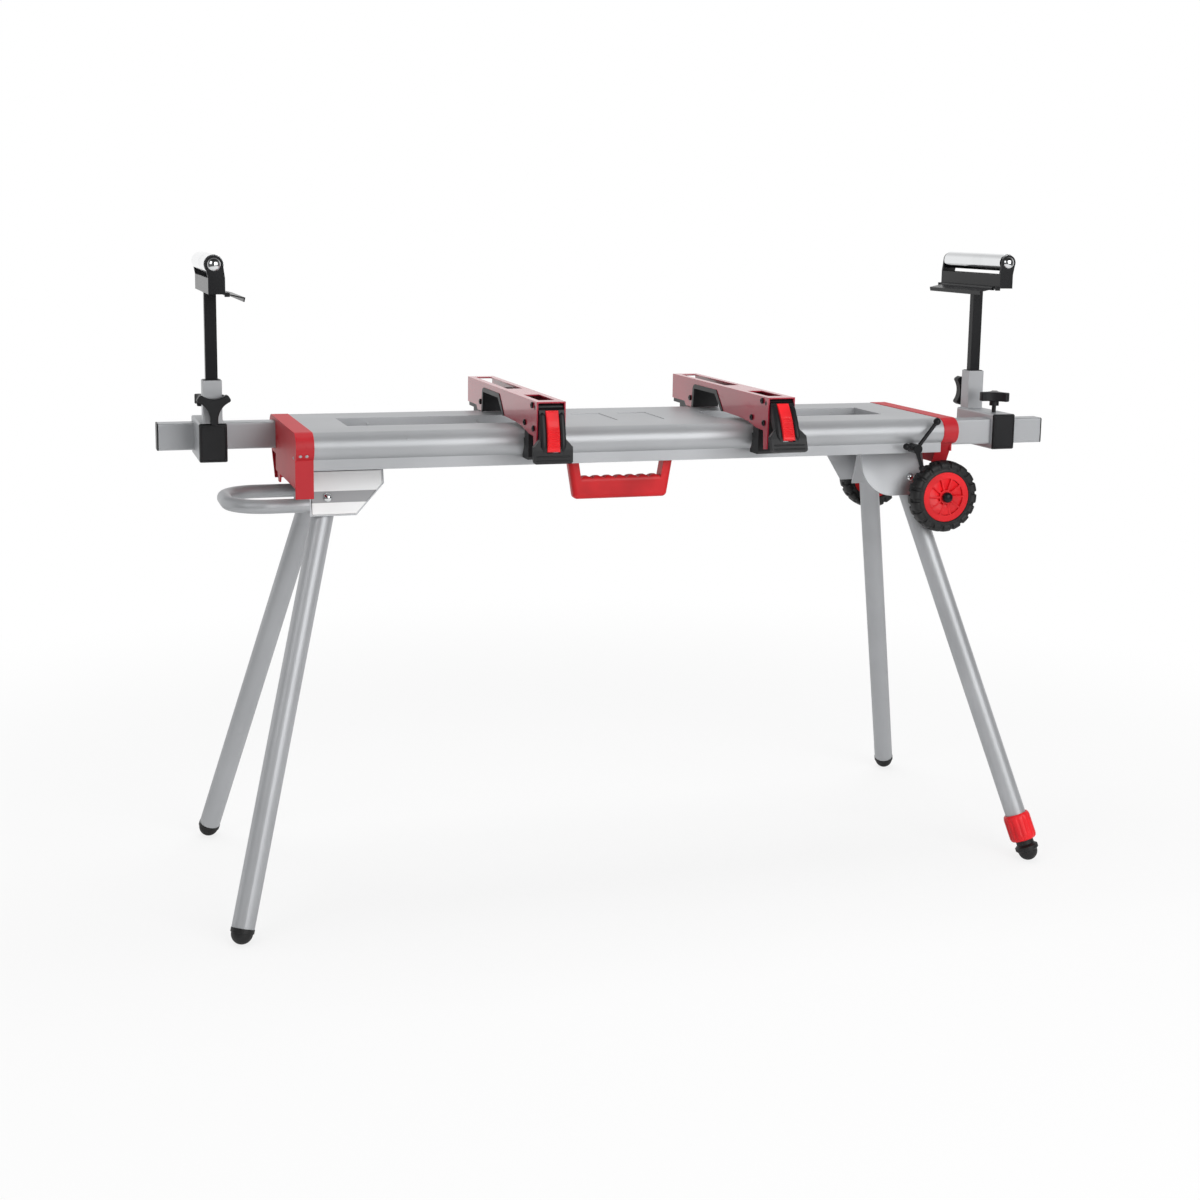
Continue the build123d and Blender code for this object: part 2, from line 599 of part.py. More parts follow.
def make_wheel(row):
    """Red ribbed hub, and a black tyre with round shoulders and two staggered rows of notches."""
    centre = (AXLE_X, row * (WHEEL_OUTER_Y - TYRE_WIDTH / 2), AXLE_Z)
    middle = Plane(origin=centre, x_dir=(1, 0, 0), z_dir=(0, row, 0))
    hub_half = TYRE_WIDTH / 2 - HUB_INSET
    with BuildPart(middle) as hub:
        Cylinder(RIM_RADIUS, 2 * hub_half)
        recess, depth = HUB_FRONT
        with BuildSketch(middle.offset(hub_half)):
            Circle(recess)
            Circle(HUB_BOSS, mode=Mode.SUBTRACT)
            with PolarLocations(RIM_RADIUS / 2, HUB_RIBS):
                Rectangle(RIM_RADIUS, HUB_RIB, mode=Mode.SUBTRACT)
        extrude(amount=-depth, mode=Mode.SUBTRACT)
        recess, depth = HUB_BACK
        with BuildSketch(middle.offset(-hub_half)):
            Circle(recess)
            Circle(HUB_BOSS, mode=Mode.SUBTRACT)
        extrude(amount=depth, mode=Mode.SUBTRACT)
        Cylinder(AXLE_RADIUS + RUNNING_FIT, 2 * TYRE_WIDTH, mode=Mode.SUBTRACT)
    save(hub, f"wheel_hub_{ROWS[row]}")

    with BuildPart(middle) as tyre:
        with BuildSketch(Plane(origin=centre)) as section:
            with Locations(((RIM_RADIUS + WHEEL_RADIUS) / 2, 0)):
                Rectangle(WHEEL_RADIUS - RIM_RADIUS, TYRE_WIDTH)
            fillet(section.vertices().group_by(Axis.X)[-1], radius=TYRE_SHOULDER)
        revolve(axis=Axis(centre, (0, 1, 0)))
        for half in (-1, 1):
            with Locations((0, 0, half * TYRE_WIDTH / 4)):
                with PolarLocations(WHEEL_RADIUS, NOTCHES, start_angle=half * 90 / NOTCHES):
                    Box(2 * NOTCH_DEPTH, NOTCH_LENGTH, TYRE_WIDTH / 2, mode=Mode.SUBTRACT)
    save(tyre, f"wheel_tyre_{ROWS[row]}")


def make_extension(side):
    """Extension tube, its outer end cap and the slider block at its inner end."""
    middle = (side * (TUBE_INNER_END + TUBE_OUTER_END) / 2, -side * TUBE_Y, TUBE_Z)
    length = TUBE_OUTER_END - TUBE_INNER_END
    with BuildPart() as tube:
        with Locations(middle):
            Box(length, TUBE_DEPTH, TUBE_HEIGHT)
            fillet(tube.edges().filter_by(Axis.X), radius=TUBE_CORNER)
            Box(length, TUBE_DEPTH - 2 * TUBE_WALL, TUBE_HEIGHT - 2 * TUBE_WALL, mode=Mode.SUBTRACT)
    save(tube, f"extension_tube_{SIDES[side]}")

    slider_height = BEAM_TOP - BEAM_BOTTOM - 2 * RAIL_WALL - 2 * FIT
    with BuildPart() as plastics:
        with Locations((side * (TUBE_OUTER_END + TUBE_CAP / 2), -side * TUBE_Y, TUBE_Z)):
            Box(TUBE_CAP, TUBE_DEPTH, TUBE_HEIGHT)
            fillet(plastics.edges().filter_by(Axis.X), radius=TUBE_CORNER)
        slider_x = TUBE_INNER_END - SLIDER_LENGTH / 2
        with Locations((side * slider_x, -side * SLIDER_Y, (BEAM_TOP + BEAM_BOTTOM) / 2)):
            Box(SLIDER_LENGTH, SLIDER_DEPTH, slider_height)
    save(plastics, f"tube_ends_{SIDES[side]}")


def make_lock_lever(side):
    """Ball-ended clamp lever whose screw presses the extension tube through the rail's band."""
    tip = TUBE_Y + TUBE_DEPTH / 2 + 1.0
    hub_start = BAND_Y + 4.0
    hub_end = hub_start + LOCK_HUB_LENGTH
    with BuildPart() as lever:
        with Locations((side * LOCK_X, -side * (tip + hub_start) / 2, LOCK_Z)):
            Cylinder(LOCK_SCREW, hub_start - tip, rotation=(90, 0, 0))
        with Locations((side * LOCK_X, -side * (hub_start + hub_end) / 2, LOCK_Z)):
            Cylinder(LOCK_HUB, hub_end - hub_start, rotation=(90, 0, 0))
        hub = Vector(side * LOCK_X, -side * LOCK_ARM_Y, LOCK_Z)
        for x, z, ball in LOCK_ARMS:
            arm = Vector(side * x, 0, z).rotate(Axis.Y, -side * LOCK_TURN[side])
            neck = arm.length - sqrt(ball**2 - LOCK_ARM**2)
            with BuildSketch(Plane(origin=hub, x_dir=(0, 1, 0), z_dir=Vector(0, 1, 0).cross(arm))):
                with BuildLine():
                    Polyline((0, arm.length + ball), (0, 0), (LOCK_ARM, 0), (LOCK_ARM, neck))
                    ThreePointArc((LOCK_ARM, neck), (ball, arm.length), (0, arm.length + ball))
                make_face()
            revolve(axis=Axis(hub, arm))
    save(lever, f"extension_lock_lever_{SIDES[side]}")


def make_saddle(side):
    """Box section across the extension tube with the post's sleeve welded on top."""
    y_middle = side * (SADDLE_FRONT + SADDLE_REAR) / 2
    depth = SADDLE_REAR - SADDLE_FRONT
    z_middle = (SADDLE_TOP + SADDLE_BOTTOM) / 2
    height = SADDLE_TOP - SADDLE_BOTTOM
    post = (side * SADDLE_X[side], side * POST_CENTRE_Y)
    with BuildPart() as saddle:
        with Locations((side * SADDLE_X[side], y_middle, z_middle)):
            Box(SADDLE_WIDTH, depth, height)
            fillet(saddle.edges().filter_by(Axis.Y), radius=TUBE_CORNER)
            Box(SADDLE_WIDTH - 2 * SADDLE_WALL, depth, height - 2 * SADDLE_WALL, mode=Mode.SUBTRACT)
        with Locations((side * SADDLE_X[side], -side * TUBE_Y, TUBE_Z)):
            Box(2 * SADDLE_WIDTH, TUBE_DEPTH + 2 * FIT, TUBE_HEIGHT + 2 * FIT, mode=Mode.SUBTRACT)
        with Locations((*post, (SADDLE_TOP + SLEEVE_TOP) / 2)):
            rise = SLEEVE_TOP - SADDLE_TOP
            Box(SLEEVE_X, SLEEVE_Y, rise)
            Box(SLEEVE_X - 2 * SLEEVE_WALL, SLEEVE_Y - 2 * SLEEVE_WALL, rise, mode=Mode.SUBTRACT)
        with Locations((*post, z_middle)):
            Box(POST_X + 2 * FIT, POST_Y + 2 * FIT, height + 2, mode=Mode.SUBTRACT)
        with Locations((post[0], post[1] + side * SLEEVE_Y / 2, POST_KNOB_Z)):
            Cylinder(KNOB_SCREW + RUNNING_FIT, 3 * SLEEVE_WALL, rotation=(90, 0, 0), mode=Mode.SUBTRACT)
        with Locations((side * SADDLE_X[side], side * SADDLE_KNOB_Y, SADDLE_TOP)):
            Cylinder(KNOB_SCREW + RUNNING_FIT, 3 * SADDLE_WALL, mode=Mode.SUBTRACT)
    save(saddle, f"saddle_{SIDES[side]}")

    with BuildPart() as plastics:
        for end, facing in ((SADDLE_FRONT, -1), (SADDLE_REAR, 1)):
            middle = (side * SADDLE_X[side], side * end, z_middle)
            with BuildSketch(Plane(origin=middle, z_dir=(0, side * facing, 0))):
                RectangleRounded(height, SADDLE_WIDTH, TUBE_CORNER)
            extrude(amount=SADDLE_CAP, taper=25)
        with Locations((*post, (BUSH_BOTTOM + BUSH_TOP) / 2)):
            Box(SLEEVE_X - 2 * SLEEVE_WALL, SLEEVE_Y - 2 * SLEEVE_WALL, BUSH_TOP - BUSH_BOTTOM)
            Box(POST_X + 2 * FIT, POST_Y + 2 * FIT, BUSH_TOP - BUSH_BOTTOM, mode=Mode.SUBTRACT)
        with Locations((post[0], post[1] + side * SLEEVE_Y / 2, POST_KNOB_Z)):
            Cylinder(KNOB_SCREW + RUNNING_FIT, SLEEVE_Y / 2, rotation=(90, 0, 0), mode=Mode.SUBTRACT)
    save(plastics, f"saddle_plastics_{SIDES[side]}")


def make_knob(plane, turn, screw_tip, hub_start, name):
    """Three-lobed clamp knob with hollow sides, on a screw; heights are along the plane's normal."""
    lobes = [Vector(0, -1, 0).rotate(Axis.Z, turn + 120 * step) for step in range(3)]
    with BuildPart() as knob:
        with BuildSketch(plane) as star:
            with BuildLine():
                for step, lobe in enumerate(lobes):
                    across = lobe.rotate(Axis.Z, 90) * KNOB_TIP
                    follower = lobes[(step + 1) % 3]
                    end = follower * KNOB_REACH - follower.rotate(Axis.Z, 90) * KNOB_TIP
                    Line(lobe * KNOB_REACH - across, lobe * KNOB_REACH + across)
                    ThreePointArc(lobe * KNOB_REACH + across, lobe.rotate(Axis.Z, 60) * KNOB_WAIST, end)
            make_face()
            fillet(star.vertices(), radius=KNOB_CORNER)
        extrude(amount=KNOB_THICK)
        chamfer(knob.faces().filter_by(Axis(plane.origin, plane.z_dir)).edges(), length=1.2)
        with BuildSketch(plane.offset(hub_start)):
            Circle(KNOB_HUB)
        extrude(amount=-hub_start)
        with BuildSketch(plane.offset(screw_tip)):
            Circle(KNOB_SCREW)
        extrude(amount=hub_start - screw_tip)
    save(knob, name)


def make_knobs(side):
    """The post's knob on the outside of the sleeve, and the saddle's knob over the extension tube."""
    seat = POST_CENTRE_Y + SLEEVE_Y / 2 + KNOB_HUB
    origin = Vector(side * SADDLE_X[side], side * seat, POST_KNOB_Z)
    screw_tip = POST_CENTRE_Y + POST_Y / 2 + 2 * FIT - seat
    plane = Plane(origin=origin, x_dir=(-side, 0, 0), z_dir=(0, side, 0))
    make_knob(plane, POST_KNOB_TURN[side], screw_tip, -7.0, f"post_knob_{SIDES[side]}")

    origin = Vector(side * SADDLE_X[side], side * SADDLE_KNOB_Y, SADDLE_KNOB_Z)
    screw_tip = TUBE_Z + TUBE_HEIGHT / 2 + 2 * FIT - SADDLE_KNOB_Z
    plane = Plane(origin=origin, x_dir=(0, -side, 0), z_dir=(0, 0, 1))
    make_knob(plane, 0, screw_tip, -9.0, f"saddle_knob_{SIDES[side]}")


def make_support_post(side):
    """Post with its roller bracket: a channel, two round-topped cheeks and the stop flap's hinge pins."""
    drop = LEFT_HEAD_DROP if side < 0 else 0.0
    middle = SADDLE_X[side]
    post = (side * middle, side * POST_CENTRE_Y)
    bottom = POST_BOTTOM - drop
    base = HEAD_BOTTOM - drop
    axis_z = ROLLER_Z - drop
    wall_top = HEAD_WALL_TOP - drop
    with BuildPart() as support:
        with Locations((*post, (bottom + base) / 2)):
            Box(POST_X, POST_Y, base - bottom)
            Box(POST_X - 2 * POST_WALL, POST_Y - 2 * POST_WALL, base - bottom, mode=Mode.SUBTRACT)
        with Locations((side * SADDLE_X[side], 0, (base + wall_top) / 2)):
            Box(HEAD_WIDTH, 2 * HEAD_HALF_LENGTH, wall_top - base)
        with Locations((side * SADDLE_X[side], 0, (base + wall_top) / 2 + HEAD_SHEET)):
            Box(HEAD_WIDTH - 2 * HEAD_SHEET, 2 * HEAD_HALF_LENGTH, wall_top - base, mode=Mode.SUBTRACT)
        for end in (-1, 1):
            plane = upright(side, end * (HEAD_HALF_LENGTH - CHEEK / 2))
            with BuildSketch(plane):
                Polygon(
                    (middle - HEAD_WIDTH / 2, base), (middle + HEAD_WIDTH / 2, base),
                    (middle + HEAD_WIDTH / 2, wall_top), (middle + ROLLER_SHIFT + CHEEK_ROUND, axis_z),
                    (middle + ROLLER_SHIFT - CHEEK_ROUND, axis_z), (middle - HEAD_WIDTH / 2, wall_top),
                    align=None,
                )
                with Locations((middle + ROLLER_SHIFT, axis_z)):
                    Circle(CHEEK_ROUND)
                    Circle(ROLLER_AXLE + RUNNING_FIT, mode=Mode.SUBTRACT)
                with Locations((middle - FLAP_HINGE_X + 2, FLAP_HINGE_Z - drop)):
                    Rectangle(8, 7)
            extrude(amount=CHEEK / 2, both=True)
        pin_start = FLAP_HALF_LENGTH - 8
        pin_length = HEAD_HALF_LENGTH - pin_start
        for end in (-1, 1):
            y = end * (HEAD_HALF_LENGTH + pin_start) / 2
            with Locations((side * (middle - FLAP_HINGE_X), y, FLAP_HINGE_Z - drop)):
                Cylinder(FLAP_PIN, pin_length, rotation=(90, 0, 0))
    save(support, f"support_post_{SIDES[side]}")


def make_roller(side):
    """Chrome roller on its axle, with a domed cap outside each cheek."""
    drop = LEFT_HEAD_DROP if side < 0 else 0.0
    centre = Vector(side * (SADDLE_X[side] + ROLLER_SHIFT), 0, ROLLER_Z - drop)
    half = HEAD_HALF_LENGTH - CHEEK - 1.5
    cap = HEAD_HALF_LENGTH + FIT
    with BuildPart() as roller:
        with BuildSketch(Plane(origin=centre, x_dir=(0, 0, 1), z_dir=(-1, 0, 0))):
            with BuildLine():
                shell = ROLLER_RADIUS - ROLLER_SHELL
                disc = ROLLER_DISC - half
                Polyline((ROLLER_AXLE, 0), (ROLLER_AXLE, disc), (shell, disc), (shell, 0))
                Polyline((shell, 0), (ROLLER_RADIUS, 0), (ROLLER_RADIUS, -half), (ROLLER_AXLE, -half))
                Polyline((ROLLER_AXLE, -half), (ROLLER_AXLE, -cap), (ROLLER_CAP, -cap))
                bulge, rise = dome_middle(ROLLER_CAP, ROLLER_DOME)
                ThreePointArc((ROLLER_CAP, -cap), (bulge, -cap - rise), (0, -cap - ROLLER_DOME))
                Polyline((0, -cap - ROLLER_DOME), (0, 0), (ROLLER_AXLE, 0))
            make_face()
            mirror(about=Plane.XZ)
        revolve(axis=Axis(centre, (0, 1, 0)))
    save(roller, f"roller_{SIDES[side]}")


def make_stop_flap(side):
    """Hinged work stop: a plate with a down-turned lip on a rolled knuckle, drooping as it hangs."""
    drop = LEFT_HEAD_DROP if side < 0 else 0.0
    droop = radians(FLAP_DROOP)
    origin = (side * (SADDLE_X[side] - FLAP_HINGE_X), 0, FLAP_HINGE_Z - drop)
    plane = Plane(origin=origin, x_dir=(-side * cos(droop), 0, -sin(droop)), z_dir=(0, side, 0))
    with BuildPart() as flap:
        with BuildSketch(plane):
            Circle(FLAP_KNUCKLE)
            Polygon(
                (0, -FLAP_SHEET / 2), (FLAP_REACH - FLAP_SHEET, -FLAP_SHEET / 2),
                (FLAP_REACH - FLAP_SHEET, -FLAP_LIP), (FLAP_REACH, -FLAP_LIP),
                (FLAP_REACH, FLAP_SHEET / 2), (0, FLAP_SHEET / 2),
                align=None,
            )
            Circle(FLAP_PIN + RUNNING_FIT, mode=Mode.SUBTRACT)
        extrude(amount=FLAP_HALF_LENGTH, both=True)
    save(flap, f"stop_flap_{SIDES[side]}")


def make_saw_bracket(side):
    """Red inverted channel across the rails: two windows, a hand hole and a toe behind the clamp lever."""
    x_middle = BRACKET_X[side]
    half = BRACKET_WIDTH / 2
    top = ((BRACKET_REAR, BRACKET_TOP), (BRACKET_FRONT, BRACKET_TOP))
    with BuildPart() as bracket:
        for edge in (x_middle - half, x_middle + half - BRACKET_SHEET):
            with BuildSketch(Plane.YZ.offset(edge)):
                Polygon(*top, *BRACKET_TOE, *BRACKET_BELLY, *BRACKET_ARCH, *BRACKET_HEEL, align=None)
            extrude(amount=BRACKET_SHEET)
        with Locations((x_middle, (BRACKET_FRONT + BRACKET_REAR) / 2, BRACKET_TOP - BRACKET_SHEET / 2)):
            Box(BRACKET_WIDTH, BRACKET_REAR - BRACKET_FRONT, BRACKET_SHEET)
        for start, end in WINDOWS:
            with Locations((x_middle, (start + end) / 2, BRACKET_TOP)):
                Box(WINDOW_WIDTH, end - start, 4 * BRACKET_SHEET, mode=Mode.SUBTRACT)
        with Locations((x_middle, LEVER_Y, LEVER_Z)):
            Cylinder(LEVER_PIN + RUNNING_FIT, 2 * BRACKET_WIDTH, rotation=(0, 90, 0), mode=Mode.SUBTRACT)
    save(bracket, f"saw_bracket_{SIDES[side]}")

    with BuildPart() as plastics:
        with BuildSketch(Plane.YZ.offset(x_middle)):
            Polygon(*BRACKET_ARCH, align=None)
            Polygon(*ARCH_LINING, align=None, mode=Mode.SUBTRACT)
        extrude(amount=half + 1.2, both=True)
        with BuildSketch(Plane.YZ.offset(x_middle)):
            Polygon(*HEEL_PAD, align=None)
            Polygon(*REAR_HOOK, align=None)
            with Locations((NOSE_Y, NOSE_Z)):
                Circle(NOSE_RADIUS + NOSE_CLEARANCE, mode=Mode.SUBTRACT)
        extrude(amount=half - BRACKET_SHEET, both=True)
    save(plastics, f"bracket_plastics_{SIDES[side]}")


def make_clamp(side):
    """Clamp of a saw bracket: the lever with its trigger, and the jaw that grips the bullnose."""
    x_middle = BRACKET_X[side]
    angle = radians(LEVER_OPEN[side])
    axis_point = (x_middle, LEVER_Y, LEVER_Z)
    profile_plane = Plane(origin=axis_point, x_dir=(0, cos(angle), -sin(angle)), z_dir=(1, 0, 0))
    front_plane = Plane(origin=axis_point, x_dir=(1, 0, 0), z_dir=(0, -cos(angle), sin(angle)))
    with BuildPart() as lever:
        with BuildSketch(profile_plane):
            Circle(LEVER_HUB)
            Polygon(*LEVER_FRONT, *LEVER_BACK, align=None)
        extrude(amount=2 * FLARE_HALF, both=True)
        with BuildSketch(front_plane):
            half = ((LEVER_HALF, 9), (LEVER_HALF, -50), (FLARE_HALF, -63), (FLARE_HALF, 3 - LEVER_LENGTH))
            half += ((FLARE_HALF - 3, -LEVER_LENGTH),)
            Polygon(*half, *[(-x, z) for x, z in reversed(half)], align=None)
        extrude(amount=2 * LEVER_HALF, both=True, mode=Mode.INTERSECT)
        with BuildSketch(profile_plane):
            Polygon(*TRIGGER_POCKET, align=None)
        extrude(amount=TRIGGER_HALF + 0.4, both=True, mode=Mode.SUBTRACT)
        with BuildSketch(profile_plane):
            Circle(LEVER_PIN)
        extrude(amount=BRACKET_WIDTH / 2, both=True)
        with BuildSketch(profile_plane):
            with Locations(TRIGGER_PIVOT):
                Circle(TRIGGER_PIN + RUNNING_FIT)
        extrude(amount=TRIGGER_HALF + 4.5, both=True, mode=Mode.SUBTRACT)
    save(lever, f"clamp_lever_{SIDES[side]}")

    with BuildPart() as trigger:
        with BuildSketch(profile_plane):
            with Locations(TRIGGER_PIVOT):
                Circle(TRIGGER_BOSS)
            Polygon(*TRIGGER_FRONT, *TRIGGER_BACK, align=None)
        extrude(amount=TRIGGER_HALF, both=True)
        with BuildSketch(profile_plane):
            with Locations(TRIGGER_PIVOT):
                Circle(TRIGGER_PIN)
        extrude(amount=TRIGGER_HALF + 4, both=True)
    save(trigger, f"clamp_trigger_{SIDES[side]}")

    shift = JAW_RELEASE * LEVER_OPEN[side] / LEVER_TRAVEL
    with BuildPart() as jaw:
        with BuildSketch(Plane.YZ.offset(x_middle)):
            Polygon(*JAW_FOOT, align=None)
            Polygon(*JAW_NECK, align=None)
            with Locations((-NOSE_Y, NOSE_Z)):
                Circle(NOSE_RADIUS + NOSE_CLEARANCE, mode=Mode.SUBTRACT)
        extrude(amount=JAW_HALF, both=True)
    jaw.part = jaw.part.moved(Location((0, -shift, 0)))
    save(jaw, f"clamp_jaw_{SIDES[side]}")


make_cross_members()
make_tube_guides()
make_pivot_pins()
make_lift_handle()
make_carry_handle()
make_axle()
make_adjustable_foot()
for row in ROWS:
    make_rail(row)
    make_wheel(row)
for side in SIDES:
    make_end_cap(side)
    make_leg_bracket(side)
    make_extension(side)
    make_lock_lever(side)
    make_saddle(side)
    make_knobs(side)
    make_support_post(side)
    make_roller(side)
    make_stop_flap(side)
    make_saw_bracket(side)
    make_clamp(side)
    for row in ROWS:
        adjustable = side > 0 and row < 0
        make_leg(side, row, COLLAR_STEP + 2 if adjustable else FOOT_START)
        make_lock_button(side, row)
        if not adjustable:
            make_foot(side, row)
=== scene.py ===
"""Looks of a folding mitre saw stand: finishes for its solids, small fittings, light and camera."""

import json

import bmesh
import bpy
import numpy as np
from bpy.props import FloatProperty, FloatVectorProperty, IntProperty, PointerProperty
from mathutils import Matrix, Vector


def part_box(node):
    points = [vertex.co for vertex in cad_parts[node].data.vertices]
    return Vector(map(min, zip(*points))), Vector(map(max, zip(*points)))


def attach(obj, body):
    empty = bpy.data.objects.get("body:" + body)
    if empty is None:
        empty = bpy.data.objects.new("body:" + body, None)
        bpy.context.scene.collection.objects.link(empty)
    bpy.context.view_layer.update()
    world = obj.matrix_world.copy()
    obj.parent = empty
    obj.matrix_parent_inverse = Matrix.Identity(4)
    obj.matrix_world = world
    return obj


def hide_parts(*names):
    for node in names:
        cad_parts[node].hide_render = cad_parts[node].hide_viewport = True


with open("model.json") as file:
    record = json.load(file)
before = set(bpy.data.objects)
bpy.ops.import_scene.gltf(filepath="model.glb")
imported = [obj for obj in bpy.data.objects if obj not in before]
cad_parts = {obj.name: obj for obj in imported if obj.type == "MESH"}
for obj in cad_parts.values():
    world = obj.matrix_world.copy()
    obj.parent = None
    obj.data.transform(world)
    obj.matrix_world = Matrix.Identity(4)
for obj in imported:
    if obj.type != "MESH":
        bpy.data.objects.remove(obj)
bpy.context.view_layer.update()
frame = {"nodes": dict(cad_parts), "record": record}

bl_info = {
    "name": "Mitre saw stand looks",
    "version": (1, 0, 0),
    "blender": (4, 5, 0),
    "location": "View3D > Sidebar > Stand",
    "description": "Finishes, fittings, light and camera for a folding mitre saw stand",
    "category": "Object",
}

SIDES = {"left": -1, "right": 1}
ROWS = {"front": -1, "rear": 1}

# Metres to a millimetre, and the tolerances for welding points and dropping slivers, in metres
MM = 0.001
WELD = 1e-6
SLIVER = 1e-7

# The lengths below are millimetres in the frame of the solids, unless they say otherwise.

# Legs: slopes of the centre lines, their places on the floor, the feet's balls and the pivots' height
SPREAD_X = 0.2597
SPREAD_Y = {"left": 0.2993, "right": 0.3213}
FOOT_X = 729.4
FOOT_Y = {"left": 270.8, "right": 299.6}
FOOT_BALL = 18.0
LEG_PIVOT_Z = 728.0

# Beam: the rails' inner walls, the circle of their bullnose, and how far the cap stands over it
RAIL_INNER = 58.0
NOSE_Y = 137.0
NOSE_Z = 796.0
NOSE_RADIUS = 24.0
CAP_OVER = 1.0

# Rivets and screws of the beam; angles are radians above the horizontal
HEAD_SIDES = 20
HEAD_SUNK = 0.2
CAP_RIVET_X = (-594.0, -604.5)
CAP_RIVET_ANGLE = -0.54
CAP_RIVET_HEIGHT = 1.3
CAP_END_RIVET = (-612.0, 132.6, 777.7)
RAIL_SCREW_X = (-453.0, -255.0, 255.0, 453.0)
RAIL_SCREW_Z = 808.8
RAIL_SCREW_HEIGHT = 1.2
NOSE_RIVET_X = -426.0
NOSE_RIVET_ANGLE = 0.57
NOSE_RIVET_RADIUS = 2.4
NOSE_RIVET_HEIGHT = 1.0

# Saw bracket bolts: the head's profile in radii, and the places on the flanks as y and z
BOLT_SIDES = 24
BOLT_HEAD = np.array([[0, 0], [1, 0], [1, 0.4], [0.86, 0.55], [0.5, 0.55], [0.46, 0.25], [0, 0.25]])
BOLT_SPOTS = ((-223.0, 868.0), (-178.0, 834.5), (-232.0, 830.0), (126.0, 838.0))

# Foot collar: skin and bore as radius and distance past the ball's centre, down the leg
COLLAR_STEPS = 144
COLLAR_SKIN = [
    [16.9, -22], [21.5, -22], [23.6, -24], [25.0, -28.5], [25.0, -36], [25.0, -44],
    [25.0, -52], [25.0, -60], [25.0, -65.5], [23.6, -70], [21.6, -72], [19.4, -72],
]
COLLAR_BORE = [[19.4, -66], [19.4, -58], [19.4, -52], [16.9, -52], [16.9, -40], [16.9, -30]]
FLUTE_SPAN = (-67.0, -27.0)
FLUTE_FADE = 3.0
FLUTE_DEPTH = 0.075
FLUTE_POWER = 1.5

# Blank label: outline as x and z, distance from the leg's centre line, film, and grid up and across
LABEL_OUTLINE = np.array([
    (-577.0, 746.0), (-453.5, 746.0), (-453.5, 723.0), (-502.0, 673.5), (-577.0, 673.5),
])
LABEL_REACH = 23.62
LABEL_FILM = 0.15
LABEL_GRID = (40, 60)

# Clamp levers: pivots, degrees open at rest, and front faces as distances from the pivot, back and up
LEVER_X = {"left": -204.0, "right": 212.0}
LEVER_Y = -238.0
LEVER_Z = 865.0
LEVER_OPEN = {"left": 0.0, "right": 17.0}
LEVER_FRONT = np.array((
    (-13.4, -2.6), (-18.5, -20.0), (-22.6, -38.0), (-25.6, -55.0), (-27.4, -68.0), (-28.5, -91.0),
))
TRIGGER_FRONT = np.array((
    (-14.2, -3.6), (-20.3, -20.0), (-24.9, -38.0), (-27.8, -55.0), (-29.2, -71.0),
))

# Trigger pads: top and bottom, section, bow, and the ribs' depth and places as shares of the pad's length
PAD_SPAN = (-4.2, -70.2)
PAD_GRID = (170, 48)
PAD_HALF = 10.6
PAD_RISE = 1.0
PAD_ROOT = 1.6
PAD_BOW = 2.4
PAD_END_FADE = 0.02
RIB_DEPTH = 0.8
RIB_START = 0.4
RIB_RUN = 0.52
RIB_FADE_IN = (0.36, 0.42)
RIB_FADE_OUT = (0.9, 0.95)

# Lever ridges: the arms beside the trigger and the lips along the lever's foot, with half axes of sections
ARM_SPAN = (-6.0, -74.0)
ARM_STEPS = 40
ARM_X = 16.7
ARM_BOW = 1.6
ARM_HALVES = (4.9, 2.8)
ARM_FADE_IN = (0.0, 0.06)
ARM_FADE_OUT = (0.8, 1.0)
LIP_Z = (-79.0, -86.0)
LIP_STEPS = 24
LIP_REACH = 30.0
LIP_HALVES = (1.2, 1.4)
LIP_FADE = 4.0

# Saddle cap rims: height of the middle, half sizes of the frame, and half axes of its section
SADDLE_RIM_Z = 789.75
SADDLE_RIM_HALVES = (20.6, 30.4)
SADDLE_RIM_SECTION = (1.6, 1.3)

# Wheels
AXLE_X = 592.0
AXLE_Z = 674.0
WHEEL_RADIUS = 67.5
WHEEL_OUTER_Y = 163.0
TYRE_HALF = 16.5
RIM_RADIUS = 46.5
HUB_FACE_Y = 161.0

# Tyre section: crown, shoulder arc, hollow side wall and bead; then where its grooves fade out
TYRE_STEPS = 432
CROWN_HALF = 8.0
CROWN_FALL = 0.012
SHOULDER_CENTRE = 58.25
SHOULDER_RADIUS = 8.5
WALL_SPAN = (57.0, 49.5)
WALL_HOLLOW = 0.9
WALL_STEPS = 7
BEAD = np.array([[48.0, 16.3], [RIM_RADIUS + 0.1, 14.8], [RIM_RADIUS + 0.1, 6.0]])
GROOVE_HALVES = (2.0, 4.4)
GROOVE_RADII = (51.0, 57.0)
GROOVE_MIDDLE = (0.5, 3.0)

# Hub faces: petals' radii, depths behind the hub's face and fades; the axle cap as radius and height
PETAL_STEPS = 36
PETAL_RADII = (13.5, 34.6)
PETAL_RINGS = 12
PETAL_LOW = -4.4
PETAL_RISE = 4.2
PETAL_BACK = -4.9
PETAL_FADE_IN = (12.0, 18.0)
PETAL_FADE_OUT = (26.0, 34.6)
PETAL_DROP = 0.35
PETAL_SHARP = 25.0
AXLE_CAP = [
    [0, -2.0], [9.6, -2.0], [9.6, 2.6], [9.0, 4.4], [7.4, 6.4], [5.0, 7.8], [2.4, 8.5], [0, 8.7],
]
AXLE_CAP_SIDES = 40
AXLE_CAP_OVER = 2.5

